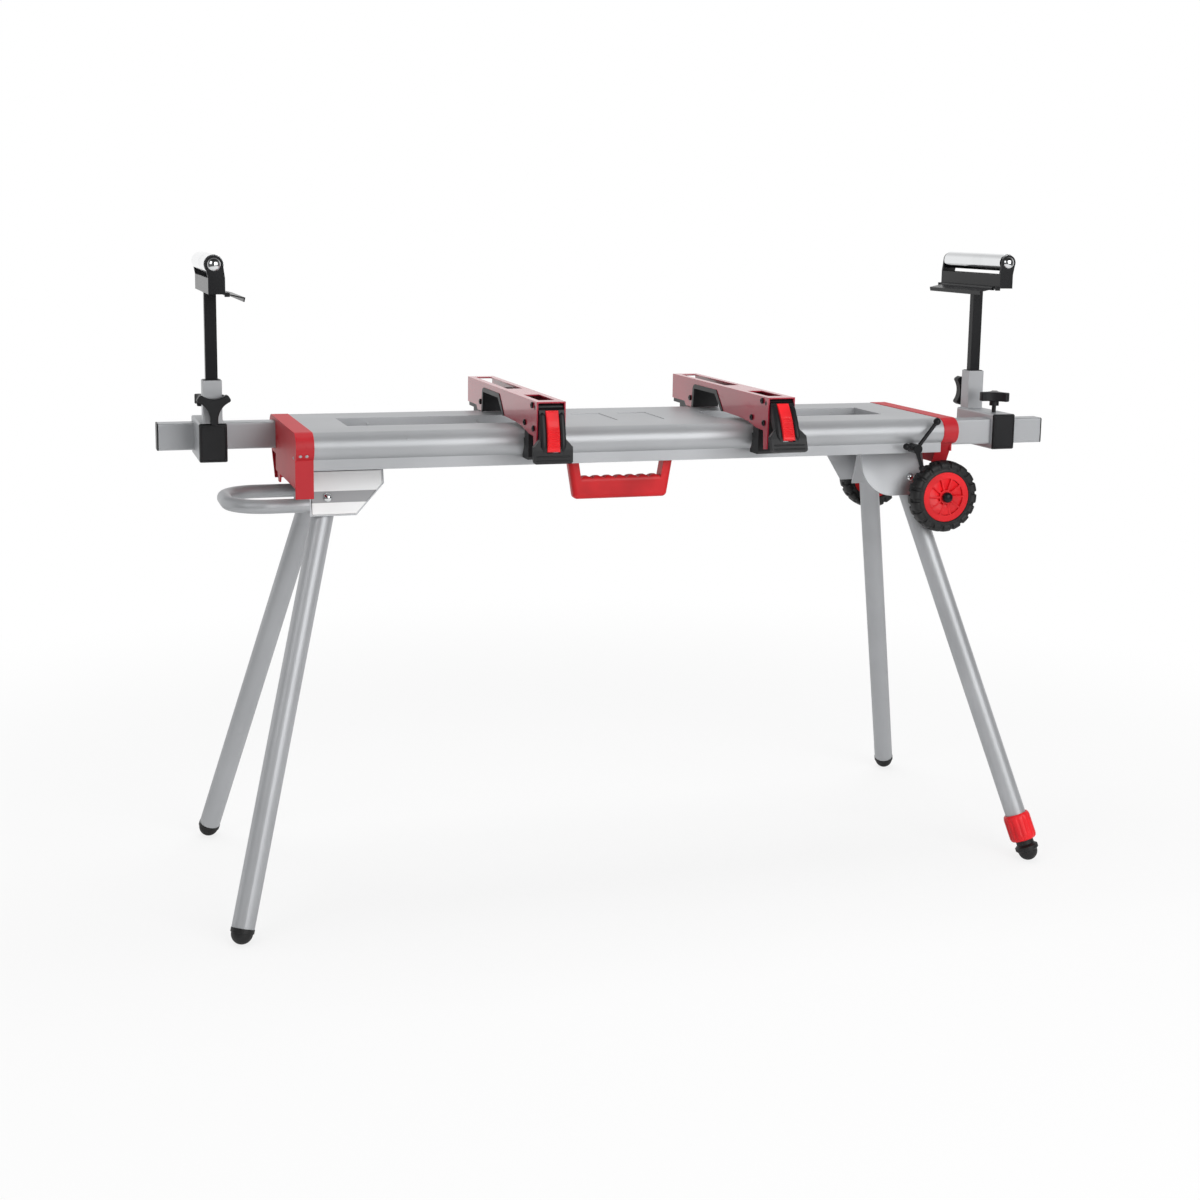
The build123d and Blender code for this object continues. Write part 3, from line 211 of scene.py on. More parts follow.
# Floor disc, and lamps as place, target and size in metres, and whether reflections show them
FLOOR_RADIUS = 2600.0
FLOOR_GRID = (14, 64)
LAMPS = {
    "key": ((1.1, -3.4, 1.95), (0, 0, 0.75), (2.8, 2.8), True),
    "fill": ((-2.8, -2.0, 2.4), (0, 0, 0.6), (1.6, 2.0), True),
    "top": ((0.0, 0.6, 3.6), (0, 0, 0.8), (3.2, 1.6), False),
}
WHITE = (1, 1, 1, 1)

# Camera solved from the photograph: its focal length and principal point in pixels, its yaw, pitch and
# roll in degrees, and its place in metres
PHOTO_PIXELS = 1200.0
FOCAL_PIXELS = 1754.46
PRINCIPAL_POINT = (626.69, 501.40)
CAMERA_TURN = (19.08, 9.18, 0.98)
CAMERA_PLACE = (-1.0291, -3.0244, 1.1785)
CAMERA_FAR = 200.0
SENSOR_MM = 36.0


def vec(*values):
    """A point or direction as an array."""
    return np.array(values, dtype=float)


def unit(direction):
    """A direction at length one."""
    return direction / np.linalg.norm(direction)


def circle(count):
    """Angles evenly round a full turn, without the last one that closes it."""
    return np.linspace(0, 2 * np.pi, count, endpoint=False)


def smooth(value, low, high):
    """Smooth step: 3 t^2 - 2 t^3 with t running from 0 at low to 1 at high."""
    share = np.clip((value - low) / (high - low), 0, 1)
    return share * share * (3 - 2 * share)


def power(value, exponent):
    """A power of the size of a value, with the value's sign."""
    return np.sign(value) * np.abs(value) ** exponent


def outward(path):
    """Unit normals of a closed flat path, out of it where it runs anticlockwise."""
    along = np.roll(path, -1, axis=0) - np.roll(path, 1, axis=0)
    normal = np.stack([along[:, 1], -along[:, 0]], axis=1)
    return normal / np.linalg.norm(normal, axis=1, keepdims=True)


def axes_about(axis):
    """Two unit directions square to a unit axis and to each other."""
    helper = vec(1, 0, 0) if abs(axis[0]) < 0.8 else vec(0, 1, 0)
    first = unit(np.cross(helper, axis))
    return first, np.cross(axis, first)


def leg_point(row, side, z):
    """The point of a leg's centre line at a height."""
    x = SIDES[side] * (FOOT_X - SPREAD_X * z)
    return vec(x, ROWS[row] * (FOOT_Y[side] - SPREAD_Y[side] * z), z)


def lever_axes(name):
    """A clamp lever's pivot and its own backward and upward directions at rest."""
    turn = np.radians(LEVER_OPEN[name])
    pivot = vec(LEVER_X[name], LEVER_Y, LEVER_Z)
    return pivot, vec(0, np.cos(turn), -np.sin(turn)), vec(0, np.sin(turn), np.cos(turn))


def front_at(line, height):
    """How far back a lever's or trigger's front face lies at a height, from its pivot."""
    return np.interp(-height, -line[:, 1], line[:, 0])


def about_axle(radius, angle, y):
    """Points at a radius and an angle about the wheels' axle."""
    return np.stack([AXLE_X + radius * np.cos(angle), y, AXLE_Z + radius * np.sin(angle)], axis=-1)


def turned(profile, centre, axis, count, wave=None):
    """Surface of revolution: centre + h * axis + r * (cos a * u + sin a * v), r times wave(a, h) if given."""
    profile = np.asarray(profile, dtype=float)
    axis = unit(axis)
    u, v = axes_about(axis)
    angle = circle(count)[None, :]
    radius = profile[:, 0:1] * np.ones_like(angle)
    if wave is not None:
        radius = radius * wave(angle, profile[:, 1:2])
    ring = radius[..., None] * (np.cos(angle)[..., None] * u + np.sin(angle)[..., None] * v)
    return centre + profile[:, 1][:, None, None] * axis + ring, False, True


def dome(radius, height, steps=8):
    """Profile of a rivet's head: r = radius * cos a, h = height * sin a, from a flat underside."""
    angle = np.linspace(0, np.pi / 2, steps)
    curve = np.stack([radius * np.cos(angle), height * np.sin(angle)], axis=1)
    return np.vstack([[0, -HEAD_SUNK], [radius, -HEAD_SUNK], curve])


def rib(path, side, up, scale, count=20):
    """Rounded rib: path + scale * (cos a * side + sin a * up), an ellipse carried along a path."""
    angle = circle(count)[:, None]
    ring = np.cos(angle) * side + np.sin(angle) * up
    return path[:, None, :] + scale[:, None, None] * ring[None], False, True


def rim(centre, halves, section, steps=160, count=12):
    """Raised frame on an upright face: a superellipse of power 10 in x and z, with an elliptical section."""
    turn = circle(steps)
    path = np.stack([halves[0] * power(np.cos(turn), 0.2), halves[1] * power(np.sin(turn), 0.2)], axis=1)
    angle = circle(count)
    flat = path[:, None, :] + section[0] * np.cos(angle)[None, :, None] * outward(path)[:, None, :]
    rise = section[1] * np.sin(angle)[None, :] * np.ones((steps, 1))
    return centre + np.stack([flat[..., 0], rise, flat[..., 1]], axis=-1), True, True


def put_mesh(name, surfaces, sharp=35.0):
    """Join parametric grids, given in millimetres, into one mesh object with outward faces."""
    verts, faces, start = [], [], 0
    for points, wrap_u, wrap_v in surfaces:
        nu, nv = points.shape[:2]
        index = np.arange(nu * nv).reshape(nu, nv) + start
        rows = np.vstack([index, index[:1]]) if wrap_u else index
        cells = np.hstack([rows, rows[:, :1]]) if wrap_v else rows
        quads = np.stack([cells[:-1, :-1], cells[1:, :-1], cells[1:, 1:], cells[:-1, 1:]], axis=-1)
        verts.append(points.reshape(-1, 3) * MM)
        faces.append(quads.reshape(-1, 4))
        start += nu * nv
    mesh = bpy.data.meshes.new(name)
    mesh.from_pydata(np.vstack(verts), [], np.vstack(faces).tolist())
    shell = bmesh.new()
    shell.from_mesh(mesh)
    bmesh.ops.remove_doubles(shell, verts=shell.verts, dist=WELD)
    bmesh.ops.dissolve_degenerate(shell, edges=shell.edges, dist=SLIVER)
    bmesh.ops.recalc_face_normals(shell, faces=shell.faces)
    shell.to_mesh(mesh)
    shell.free()
    mesh.shade_smooth()
    mesh.set_sharp_from_angle(angle=np.radians(sharp))
    piece = bpy.data.objects.new(name, mesh)
    bpy.context.scene.collection.objects.link(piece)
    return piece


class Wire:
    """A shader socket; arithmetic on it adds Math nodes to its tree."""

    def __init__(self, nodes, socket):
        self.nodes = nodes
        self.socket = socket

    def math(self, operation, first, second):
        return self.nodes.node("ShaderNodeMath", {"operation": operation}, {0: first, 1: second})

    def __add__(self, other):
        return self.math("ADD", self, other)

    def __radd__(self, other):
        return self.math("ADD", other, self)

    def __sub__(self, other):
        return self.math("SUBTRACT", self, other)

    def __rsub__(self, other):
        return self.math("SUBTRACT", other, self)

    def __mul__(self, other):
        return self.math("MULTIPLY", self, other)

    def __rmul__(self, other):
        return self.math("MULTIPLY", other, self)


class Nodes:
    """A node tree, with one method that adds any node."""

    def __init__(self, tree):
        self.tree = tree
        self.tree.nodes.clear()

    def node(self, kind, settings=None, inputs=None, output=0):
        """Add a node, set its settings first, then its sockets' values or links; return one output."""
        made = self.tree.nodes.new(kind)
        for key, value in (settings or {}).items():
            setattr(made, key, value)
        for key, value in (inputs or {}).items():
            self.join(value, made.inputs[key])
        return Wire(self, made.outputs[output])

    def join(self, value, socket):
        """Link a wire to a socket, or set the socket's own value."""
        if isinstance(value, Wire):
            self.tree.links.new(value.socket, socket)
        else:
            socket.default_value = value

    def finish_with(self, kind, surface):
        """Add the tree's output node and feed its surface."""
        output = self.tree.nodes.new(kind)
        self.join(surface, output.inputs["Surface"])

    def band(self, value, low, high, bottom=0.0, top=1.0):
        """Smooth step of a value from bottom to top."""
        sockets = {"Value": value, "From Min": low, "From Max": high, "To Min": bottom, "To Max": top}
        return self.node("ShaderNodeMapRange", {"interpolation_type": "SMOOTHSTEP"}, sockets)

    def part(self, vector, axis):
        """One component of a vector."""
        return self.node("ShaderNodeSeparateXYZ", None, {"Vector": vector}, axis)

    def rays(self):
        """Shares of camera rays, and of glossy and transmission rays together."""
        glossy = self.node("ShaderNodeLightPath", output="Is Glossy Ray")
        through = self.node("ShaderNodeLightPath", output="Is Transmission Ray")
        return self.node("ShaderNodeLightPath", output="Is Camera Ray"), glossy + through


class Finish(Nodes):
    """A material being made: its Principled shader and the patterns that feed it."""

    def __init__(self, name):
        self.material = bpy.data.materials.new(name)
        self.material.use_nodes = True
        super().__init__(self.material.node_tree)
        self.shader = self.node("ShaderNodeBsdfPrincipled")
        self.place = self.node("ShaderNodeTexCoord", output="Object")

    def done(self, surface=None):
        """Close the tree and hand over the material."""
        self.finish_with("ShaderNodeOutputMaterial", surface or self.shader)
        return self.material

    def set(self, **sockets):
        """Set or link the Principled shader's sockets, named with underscores for spaces."""
        for key, value in sockets.items():
            self.join(value, self.shader.socket.node.inputs[key.replace("_", " ")])

    def noise(self, scale, detail, stretch=(1, 1, 1), roughness=0.5):
        """Noise on Object coordinates, stretched along the axes."""
        spot = self.node("ShaderNodeMapping", None, {"Vector": self.place, "Scale": stretch})
        sockets = {"Vector": spot, "Scale": scale, "Detail": detail, "Roughness": roughness}
        return self.node("ShaderNodeTexNoise", None, sockets, "Fac")

    def mix(self, factor, first, second):
        """Blend two colours."""
        sockets = {"Factor": factor, 6: first, 7: second}
        return self.node("ShaderNodeMix", {"data_type": "RGBA", "clamp_factor": True}, sockets, 2)

    def cloudy(self, noise, colour, low, high):
        """A colour that drifts between two shades with a noise."""
        return self.mix(self.band(noise, 0.3, 0.7), shade(colour, low), shade(colour, high))

    def bevel(self, radius):
        """The surface's normal, rounded over its edges."""
        return self.node("ShaderNodeBevel", {"samples": 4}, {"Radius": radius}, "Normal")

    def edge_wear_and_highlight(self, radius=0.0012):
        """Share of edge where a rounded normal leaves the flat one; the finishes lighten it as a painted
        highlight, on the silver partly as rubbed paint too.
        """
        sockets = {0: self.bevel(radius), 1: self.node("ShaderNodeNewGeometry", output="Normal")}
        turn = self.node("ShaderNodeVectorMath", {"operation": "DOT_PRODUCT"}, sockets, "Value")
        return self.band(turn, 0.985, 0.86)

    def relief(self, height, strength, distance, edge=0.0008):
        """Bump over a softened edge, for the shader's normal."""
        sockets = {"Height": height, "Strength": strength, "Distance": distance, "Normal": self.bevel(edge)}
        self.set(Normal=self.node("ShaderNodeBump", None, sockets, "Normal"))


def shade(colour, factor):
    """A colour made lighter or darker, with full alpha."""
    return tuple(min(1.0, channel * factor) for channel in colour[:3]) + (1.0,)


def silver_paint(name, colour, roughness):
    """Satin silver paint: fine flake, faint cloudy tone, a few long scuffs, and edges lightened partly as
    rubbed paint, partly as a painted highlight.
    """
    paint = Finish(name)
    cloud = paint.noise(scale=7.0, detail=2.0)
    flake = paint.noise(scale=1900.0, detail=1.0)
    scratch = paint.noise(scale=26.0, detail=4.0, stretch=(0.12, 1, 1), roughness=0.65)
    scuff = paint.band(scratch, 0.63, 0.74)
    tone = paint.cloudy(cloud, colour, 0.95, 1.05)
    tone = paint.mix(paint.band(flake, 0.55, 0.8) * 0.25, tone, shade(colour, 1.3))
    tone = paint.mix(scuff * 0.14, tone, shade(colour, 0.8))
    # Edges up to 1.35 times lighter: partly rubbed paint, partly painted highlight
    paint.set(Base_Color=paint.mix(paint.edge_wear_and_highlight() * 0.3, tone, shade(colour, 1.35)))
    paint.set(Roughness=roughness + scuff * 0.1 + (flake - 0.5) * 0.12, Metallic=0.5)
    paint.relief(flake, strength=0.05, distance=0.0003)
    return paint.done()


def red_paint(name, colour, roughness, coat):
    """Red powder coat: orange-peel relief, a clear coat by its weight, dulled scuffs and a painted highlight
    that brightens the edges.
    """
    paint = Finish(name)
    peel = paint.noise(scale=420.0, detail=2.0)
    cloud = paint.noise(scale=9.0, detail=2.0)
    scratch = paint.noise(scale=38.0, detail=4.0, stretch=(1, 0.2, 1), roughness=0.6)
    scuff = paint.band(scratch, 0.62, 0.74)
    tone = paint.cloudy(cloud, colour, 0.93, 1.05)
    tone = paint.mix(scuff * 0.12, tone, shade(colour, 0.7))
    # Painted highlight: edges up to 1.9 times brighter
    paint.set(Base_Color=paint.mix(paint.edge_wear_and_highlight(0.0014) * 0.8, tone, shade(colour, 1.9)))
    paint.set(Roughness=roughness + scuff * 0.12)
    paint.set(Coat_Weight=coat * (1 - scuff * 0.2), Coat_Roughness=0.06)
    paint.relief(peel, strength=0.035, distance=0.0004, edge=0.0012)
    return paint.done()


def moulded_plastic(name, colour, roughness, grain):
    """Moulded plastic: spark-eroded grain, slightly uneven sheen and a painted highlight that pales the
    edges.
    """
    plastic = Finish(name)
    texture = plastic.noise(scale=grain, detail=3.0)
    cloud = plastic.noise(scale=14.0, detail=2.0)
    tone = plastic.cloudy(cloud, colour, 0.85, 1.2)
    # Painted highlight: edges up to twice as pale
    plastic.set(Base_Color=plastic.mix(plastic.edge_wear_and_highlight(0.001) * 0.4, tone, shade(colour, 2.0)))
    plastic.set(Roughness=roughness + (cloud - 0.5) * 0.16, Specular_IOR_Level=0.34)
    plastic.relief(texture, strength=0.14, distance=0.0004, edge=0.0009)
    return plastic.done()


def tyre_rubber(name, colour):
    """Matt rubber with dusty patches and a fine scuffed grain."""
    rubber = Finish(name)
    grain = rubber.noise(scale=700.0, detail=2.0)
    dust = rubber.band(rubber.noise(scale=30.0, detail=4.0), 0.5, 0.72)
    rubber.set(Base_Color=rubber.mix(dust * 0.35, colour, shade(colour, 2.4)))
    rubber.set(Roughness=0.5 + dust * 0.16, Specular_IOR_Level=0.42)
    rubber.relief(grain, strength=0.2, distance=0.0004, edge=0.0009)
    return rubber.done()


def black_coat(name, colour):
    """Glossy black paint on steel, worn a little towards grey in streaks."""
    coat = Finish(name)
    peel = coat.noise(scale=480.0, detail=2.0)
    wear = coat.band(coat.noise(scale=34.0, detail=4.0, stretch=(1, 1, 0.25)), 0.6, 0.74)
    coat.set(Base_Color=coat.mix(wear * 0.3, colour, shade(colour, 2.6)))
    coat.set(Roughness=0.28 + wear * 0.14, Specular_IOR_Level=0.22)
    coat.relief(peel, strength=0.05, distance=0.0003)
    return coat.done()


def chrome_plate(name, colour):
    """Polished plate with faint turning lines round the roller and the odd dull patch."""
    plate = Finish(name)
    lines = plate.noise(scale=260.0, detail=2.0, stretch=(0.3, 1, 0.3))
    haze = plate.band(plate.noise(scale=18.0, detail=3.0), 0.45, 0.75)
    plate.set(Base_Color=plate.mix(haze * 0.3, colour, shade(colour, 0.85)))
    plate.set(Roughness=0.1 + haze * 0.08 + (lines - 0.5) * 0.04, Metallic=1.0)
    plate.relief(lines, strength=0.03, distance=0.0002, edge=0.0006)
    return plate.done()


def paper_label(name, colour, band_colour):
    """Blank label: pale film with one grey band, laid out on the label's own UV map."""
    film = Finish(name)
    rise = film.part(film.node("ShaderNodeTexCoord", output="UV"), "Y")
    grey = film.band(rise, 0.27, 0.28) * (1 - film.band(rise, 0.53, 0.54))
    fibre = film.noise(scale=600.0, detail=2.0)
    film.set(Base_Color=film.mix(grey, colour, band_colour), Roughness=0.42 + (fibre - 0.5) * 0.1)
    film.relief(fibre, strength=0.04, distance=0.0002)
    return film.done()


def colour_field(name, description, *rgb):
    """A colour with full alpha, as a property."""
    return FloatVectorProperty(
        name=name, description=description, subtype="COLOR", size=4, min=0, max=1, default=(*rgb, 1),
    )


def length_field(name, description, default, low=0.001):
    """A length in metres, as a property."""
    return FloatProperty(name=name, description=description, default=default, min=low, unit="LENGTH")


def count_field(name, description, default, low):
    """A count, as a property."""
    return IntProperty(name=name, description=description, default=default, min=low)


def power_field(name, description, default):
    """A lamp's power in watts, as a property."""
    return FloatProperty(name=name, description=description, default=default, unit="POWER")


class StandColours(bpy.types.PropertyGroup):
    """Finishes that a user would change."""

    silver: colour_field("Silver", "Paint of the beam, brackets and tubes", 0.45, 0.46, 0.475)
    red: colour_field("Red", "Powder coat of the end caps", 0.46, 0.006, 0.014)
    red_plastic: colour_field("Red plastic", "Carry handle, hubs, triggers and collar", 0.74, 0.012, 0.018)
    black: colour_field("Black", "Moulded plastic and painted steel", 0.008, 0.0082, 0.0095)
    rubber: colour_field("Rubber", "Tyres and feet", 0.009, 0.009, 0.0095)
    chrome: colour_field("Chrome", "Rollers, axle and lock plungers", 0.78, 0.79, 0.8)
    bracket_red: colour_field("Bracket red", "Glossy maroon coat of the saw brackets", 0.37, 0.008, 0.03)
    label: colour_field("Label", "Blank label film", 0.93, 0.93, 0.93)
    label_band: colour_field("Label band", "Band across the blank label", 0.32, 0.32, 0.33)


class StandFittings(bpy.types.PropertyGroup):
    """Sizes of the small fittings, in metres, and their counts."""

    rivet_radius: length_field("Rivet radius", "Heads of the cap rivets", 0.0028)
    screw_radius: length_field("Screw radius", "Heads of the rails' screws", 0.0032)
    bolt_radius: length_field("Bolt radius", "Heads of the saw brackets' bolts", 0.0052)
    collar_flutes: count_field("Collar flutes", "Finger flutes round the foot's collar", 12, 3)
    trigger_ribs: count_field("Trigger ribs", "Ribs across each clamp trigger", 9, 1)
    tyre_lugs: count_field("Tyre lugs", "Lugs round each half of a tyre", 18, 6)
    lug_depth: length_field("Lug depth", "Depth of the grooves between lugs", 0.0032, 0.0)
    hub_petals: count_field("Hub petals", "Sloping petals in each hub's face", 10, 3)


class StandStage(bpy.types.PropertyGroup):
    """Light and floor."""

    key_power: power_field("Key light", "Power of the main softbox", 82.0)
    fill_power: power_field("Fill light", "Power of the side softbox", 18.0)
    top_power: power_field("Top light", "Power of the overhead softbox", 60.0)
    backdrop: FloatProperty(
        name="Backdrop", description="Brightness of the backdrop in reflections", default=1.0,
    )
    room_light: FloatProperty(
        name="Room light", description="Strength of the even room light", default=0.36,
    )
    floor: colour_field("Floor", "Pale floor", 0.86, 0.86, 0.86)


# Finishes made so far, and the solids whose finish isn't named after their slot: the carry handle's red is
# darkened as painted shade
FINISHES = {}
OWN_FINISH = {"carry_handle": "shaded_handle_red"}


def finish_of(key):
    """A finish by name, made once from the current colours."""
    colours = bpy.context.scene.stand_colours
    # The carry handle's red at 0.7 of the red plastic: painted shade for the shadow under the beam
    handle = shade(colours.red_plastic, 0.7)
    makers = {
        "frame_silver": lambda: silver_paint("satin_silver_beam", colours.silver, 0.44),
        "leg_silver": lambda: silver_paint("satin_silver_legs", colours.silver, 0.45),
        "cap_red": lambda: red_paint("red_cap_coat", colours.red, 0.5, 0.0),
        "bracket_red": lambda: red_paint("red_bracket_coat", colours.bracket_red, 0.3, 0.6),
        "plastic_red": lambda: moulded_plastic("red_moulding", colours.red_plastic, 0.38, 380.0),
        "shaded_handle_red": lambda: moulded_plastic("red_handle_moulding", handle, 0.38, 380.0),
        "plastic_black": lambda: moulded_plastic("black_moulding", colours.black, 0.42, 520.0),
        "rubber_black": lambda: tyre_rubber("black_rubber", colours.rubber),
        "steel_black": lambda: black_coat("black_steel_coat", colours.black),
        "chrome": lambda: chrome_plate("polished_chrome", colours.chrome),
        "label": lambda: paper_label("blank_label_film", colours.label, colours.label_band),
    }
    if key not in FINISHES:
        FINISHES[key] = makers[key]()
    return FINISHES[key]


def dress(piece, slot, body, *replaced, finish=None):
    """Give a piece its slot's finish, or another that is named, and the body it moves with; hide the solids
    it replaces.
    """
    piece.data.materials.append(finish_of(finish or slot))
    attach(piece, body)
    if replaced:
        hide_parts(*replaced)


class STAND_OT_finish_solids(bpy.types.Operator):
    """Give each carried-over solid the finish of its record slot, or its own"""

    bl_idname = "stand.finish_solids"
    bl_label = "Finish solids"

    def execute(self, context):
        for entry in frame["record"]["subparts"]:
            solid = frame["nodes"][entry["node"]]
            for holder in solid.material_slots:
                holder.material = finish_of(OWN_FINISH.get(entry["node"], entry["material_slot"]))
        return {"FINISHED"}


class STAND_OT_cap_rivets(bpy.types.Operator):
    """Add the domed rivets where the left red cap curls round the rails"""

    bl_idname = "stand.cap_rivets"
    bl_label = "Cap rivets"

    def execute(self, context):
        head = dome(context.scene.stand_fittings.rivet_radius / MM, CAP_RIVET_HEIGHT)
        end_x, end_y, end_z = CAP_END_RIVET
        heads = []
        for sy in ROWS.values():
            out = vec(0, sy * np.cos(CAP_RIVET_ANGLE), np.sin(CAP_RIVET_ANGLE))
            for x in CAP_RIVET_X:
                seat = vec(x, sy * NOSE_Y, NOSE_Z) + out * (NOSE_RADIUS + CAP_OVER)
                heads.append(turned(head, seat, out, HEAD_SIDES))
            heads.append(turned(head, vec(end_x, sy * end_y, end_z), vec(-1, 0, 0), HEAD_SIDES))
        dress(put_mesh("cap_rivets", heads), "frame_silver", "frame")
        return {"FINISHED"}


class STAND_OT_rail_screws(bpy.types.Operator):
    """Add the small screws in the rails' inner walls and the rivet on the front bullnose"""

    bl_idname = "stand.rail_screws"
    bl_label = "Rail screws"

    def execute(self, context):
        screw = dome(context.scene.stand_fittings.screw_radius / MM, RAIL_SCREW_HEIGHT)
        heads = []
        for sy in ROWS.values():
            for x in RAIL_SCREW_X:
                seat = vec(x, sy * RAIL_INNER, RAIL_SCREW_Z)
                heads.append(turned(screw, seat, vec(0, -sy, 0), HEAD_SIDES))
        rivet = dome(NOSE_RIVET_RADIUS, NOSE_RIVET_HEIGHT)
        out = vec(0, -np.cos(NOSE_RIVET_ANGLE), np.sin(NOSE_RIVET_ANGLE))
        seat = vec(NOSE_RIVET_X, -NOSE_Y, NOSE_Z) + out * NOSE_RADIUS
        heads.append(turned(rivet, seat, out, HEAD_SIDES))
        dress(put_mesh("rail_screws", heads), "frame_silver", "frame")
        return {"FINISHED"}


class STAND_OT_bracket_bolts(bpy.types.Operator):
    """Add the socket-headed bolts on both flanks of each saw bracket"""

    bl_idname = "stand.bracket_bolts"
    bl_label = "Saw bracket bolts"

    def execute(self, context):
        head = context.scene.stand_fittings.bolt_radius / MM * BOLT_HEAD
        for name in SIDES:
            low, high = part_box(f"saw_bracket_{name}")
            heads = []
            for face, out in ((low[0] / MM, -1), (high[0] / MM, 1)):
                for y, z in BOLT_SPOTS:
                    heads.append(turned(head, vec(face, y, z), vec(out, 0, 0), BOLT_SIDES))
            piece = put_mesh(f"bracket_bolts_{name}", heads)
            dress(piece, "steel_black", f"saw_bracket_{name}_body")
        return {"FINISHED"}


class STAND_OT_foot_collar(bpy.types.Operator):
    """Replace the plain foot collar with its fluted moulding"""

    bl_idname = "stand.foot_collar"
    bl_label = "Fluted foot collar"

    def execute(self, context):
        flutes = context.scene.stand_fittings.collar_flutes
        ball = leg_point("front", "right", FOOT_BALL)
        down = vec(SPREAD_X, -SPREAD_Y["right"], -1)

        def fluted(angle, height):
            low, high = FLUTE_SPAN
            fade = np.clip((high - height) / FLUTE_FADE, 0, 1) * np.clip((height - low) / FLUTE_FADE, 0, 1)
            wave = np.clip(np.cos(flutes * angle), 0, 1) ** FLUTE_POWER
            return 1 - FLUTE_DEPTH * fade * wave

        skin = turned(COLLAR_SKIN, ball, down, COLLAR_STEPS, fluted)[0]
        bore = turned(COLLAR_BORE, ball, down, COLLAR_STEPS)[0]
        piece = put_mesh("fluted_collar", [(np.concatenate([skin, bore]), True, True)])
        dress(piece, "plastic_red", "foot_collar_body", "foot_collar")
        return {"FINISHED"}


class STAND_OT_blank_label(bpy.types.Operator):
    """Lay the blank label on the front left leg bracket's plate"""

    bl_idname = "stand.blank_label"
    bl_label = "Blank label"

    def execute(self, context):
        normal = unit(vec(0, -1, SPREAD_Y["left"]))
        across = vec(1, 0, 0)
        up = np.cross(normal, across)
        seat = leg_point("front", "left", LEG_PIVOT_Z) + normal * LABEL_REACH

        # The outline in the plate's own plane; below the chamfer's top, the right edge runs in
        flat_x = LABEL_OUTLINE[:, 0] - seat[0]
        flat_z = (LABEL_OUTLINE[:, 1] - seat[2]) / up[2]
        low, high, chamfer = flat_z.min(), flat_z.max(), flat_z[2]
        rows, columns = LABEL_GRID
        height = low + (high - low) * np.linspace(0, 1, rows)
        run = np.clip((chamfer - height) / (chamfer - low), 0, 1)
        right = flat_x[1] + (flat_x[3] - flat_x[1]) * run
        share = np.linspace(0, 1, columns)[None, :]
        x = flat_x[0] * (1 - share) + right[:, None] * share
        sheet = seat + x[..., None] * across + height[:, None, None] * up
        piece = put_mesh("blank_label", [(sheet, False, False)])

        mesh = piece.data
        index = np.empty(len(mesh.loops), dtype=np.int64)
        mesh.loops.foreach_get("vertex_index", index)
        spots = np.empty(len(mesh.vertices) * 3)
        mesh.vertices.foreach_get("co", spots)
        away = spots.reshape(-1, 3) / MM - seat
        u = (away @ across - flat_x.min()) / np.ptp(flat_x)
        v = (away @ up - low) / (high - low)
        layer = mesh.uv_layers.new(name="label")
        layer.data.foreach_set("uv", np.stack([u, v], axis=1)[index].ravel())

        solid = piece.modifiers.new("film", "SOLIDIFY")
        solid.thickness = LABEL_FILM * MM
        solid.offset = 0.0
        dress(piece, "frame_silver", "frame", finish="label")
        return {"FINISHED"}


class STAND_OT_trigger_pads(bpy.types.Operator):
    """Add the bowed pad on each red clamp trigger, ribbed across its lower half"""

    bl_idname = "stand.trigger_pads"
    bl_label = "Trigger pads"

    def execute(self, context):
        count = context.scene.stand_fittings.trigger_ribs
        top, bottom = PAD_SPAN
        rows, columns = PAD_GRID
        height = np.linspace(top, bottom, rows)
        share = (height - top) / (bottom - top)
        ribbed = smooth(share, *RIB_FADE_IN) * (1 - smooth(share, *RIB_FADE_OUT))
        ribs = RIB_DEPTH * ribbed * np.sin(2 * np.pi * count * (share - RIB_START) / RIB_RUN)
        bow = PAD_RISE + PAD_BOW * np.sin(np.pi * share) + ribs
        closing = smooth(share, 0.0, PAD_END_FADE) * (1 - smooth(share, 1.0 - PAD_END_FADE, 1.0))
        turn = circle(columns)[None, :]
        x = PAD_HALF * closing[:, None] * power(np.cos(turn), 0.3)
        face = bow[:, None] * np.abs(np.sin(turn)) ** 0.5
        out = np.where(np.sin(turn) > 0, face, PAD_ROOT * np.sin(turn))
        y = front_at(TRIGGER_FRONT, height)[:, None] - out * closing[:, None]
        for name in SIDES:
            pivot, back, rise = lever_axes(name)
            pad = pivot + x[..., None] * vec(1, 0, 0) + y[..., None] * back + height[:, None, None] * rise
            piece = put_mesh(f"trigger_pad_{name}", [(pad, False, True)])
            dress(piece, "plastic_red", f"clamp_trigger_{name}_body")
        return {"FINISHED"}


class STAND_OT_lever_ridges(bpy.types.Operator):
    """Add the bowed arms beside each trigger and the two lips along each lever's foot"""

    bl_idname = "stand.lever_ridges"
    bl_label = "Lever ridges"

    def execute(self, context):
        across = vec(1, 0, 0)
        top, bottom = ARM_SPAN
        height = np.linspace(top, bottom, ARM_STEPS)
        share = (height - top) / (bottom - top)
        bowed = front_at(LEVER_FRONT, height) - ARM_BOW * np.sin(np.pi * share)
        taper = smooth(share, *ARM_FADE_IN) * (1 - smooth(share, *ARM_FADE_OUT))
        ends = np.linspace(-LIP_REACH, LIP_REACH, LIP_STEPS)
        lip_taper = smooth(LIP_REACH - np.abs(ends), 0.0, LIP_FADE)
        for name in SIDES:
            pivot, back, rise = lever_axes(name)
            ridges = []
            for sx in SIDES.values():
                path = pivot + bowed[:, None] * back + height[:, None] * rise + sx * ARM_X * across
                ridges.append(rib(path, ARM_HALVES[0] * across, ARM_HALVES[1] * back, taper))
            for z in LIP_Z:
                path = pivot + front_at(LEVER_FRONT, z) * back + z * rise + ends[:, None] * across
                ridges.append(rib(path, LIP_HALVES[0] * back, LIP_HALVES[1] * rise, lip_taper))
            piece = put_mesh(f"lever_ridges_{name}", ridges)
            dress(piece, "plastic_black", f"clamp_lever_{name}_body")
        return {"FINISHED"}


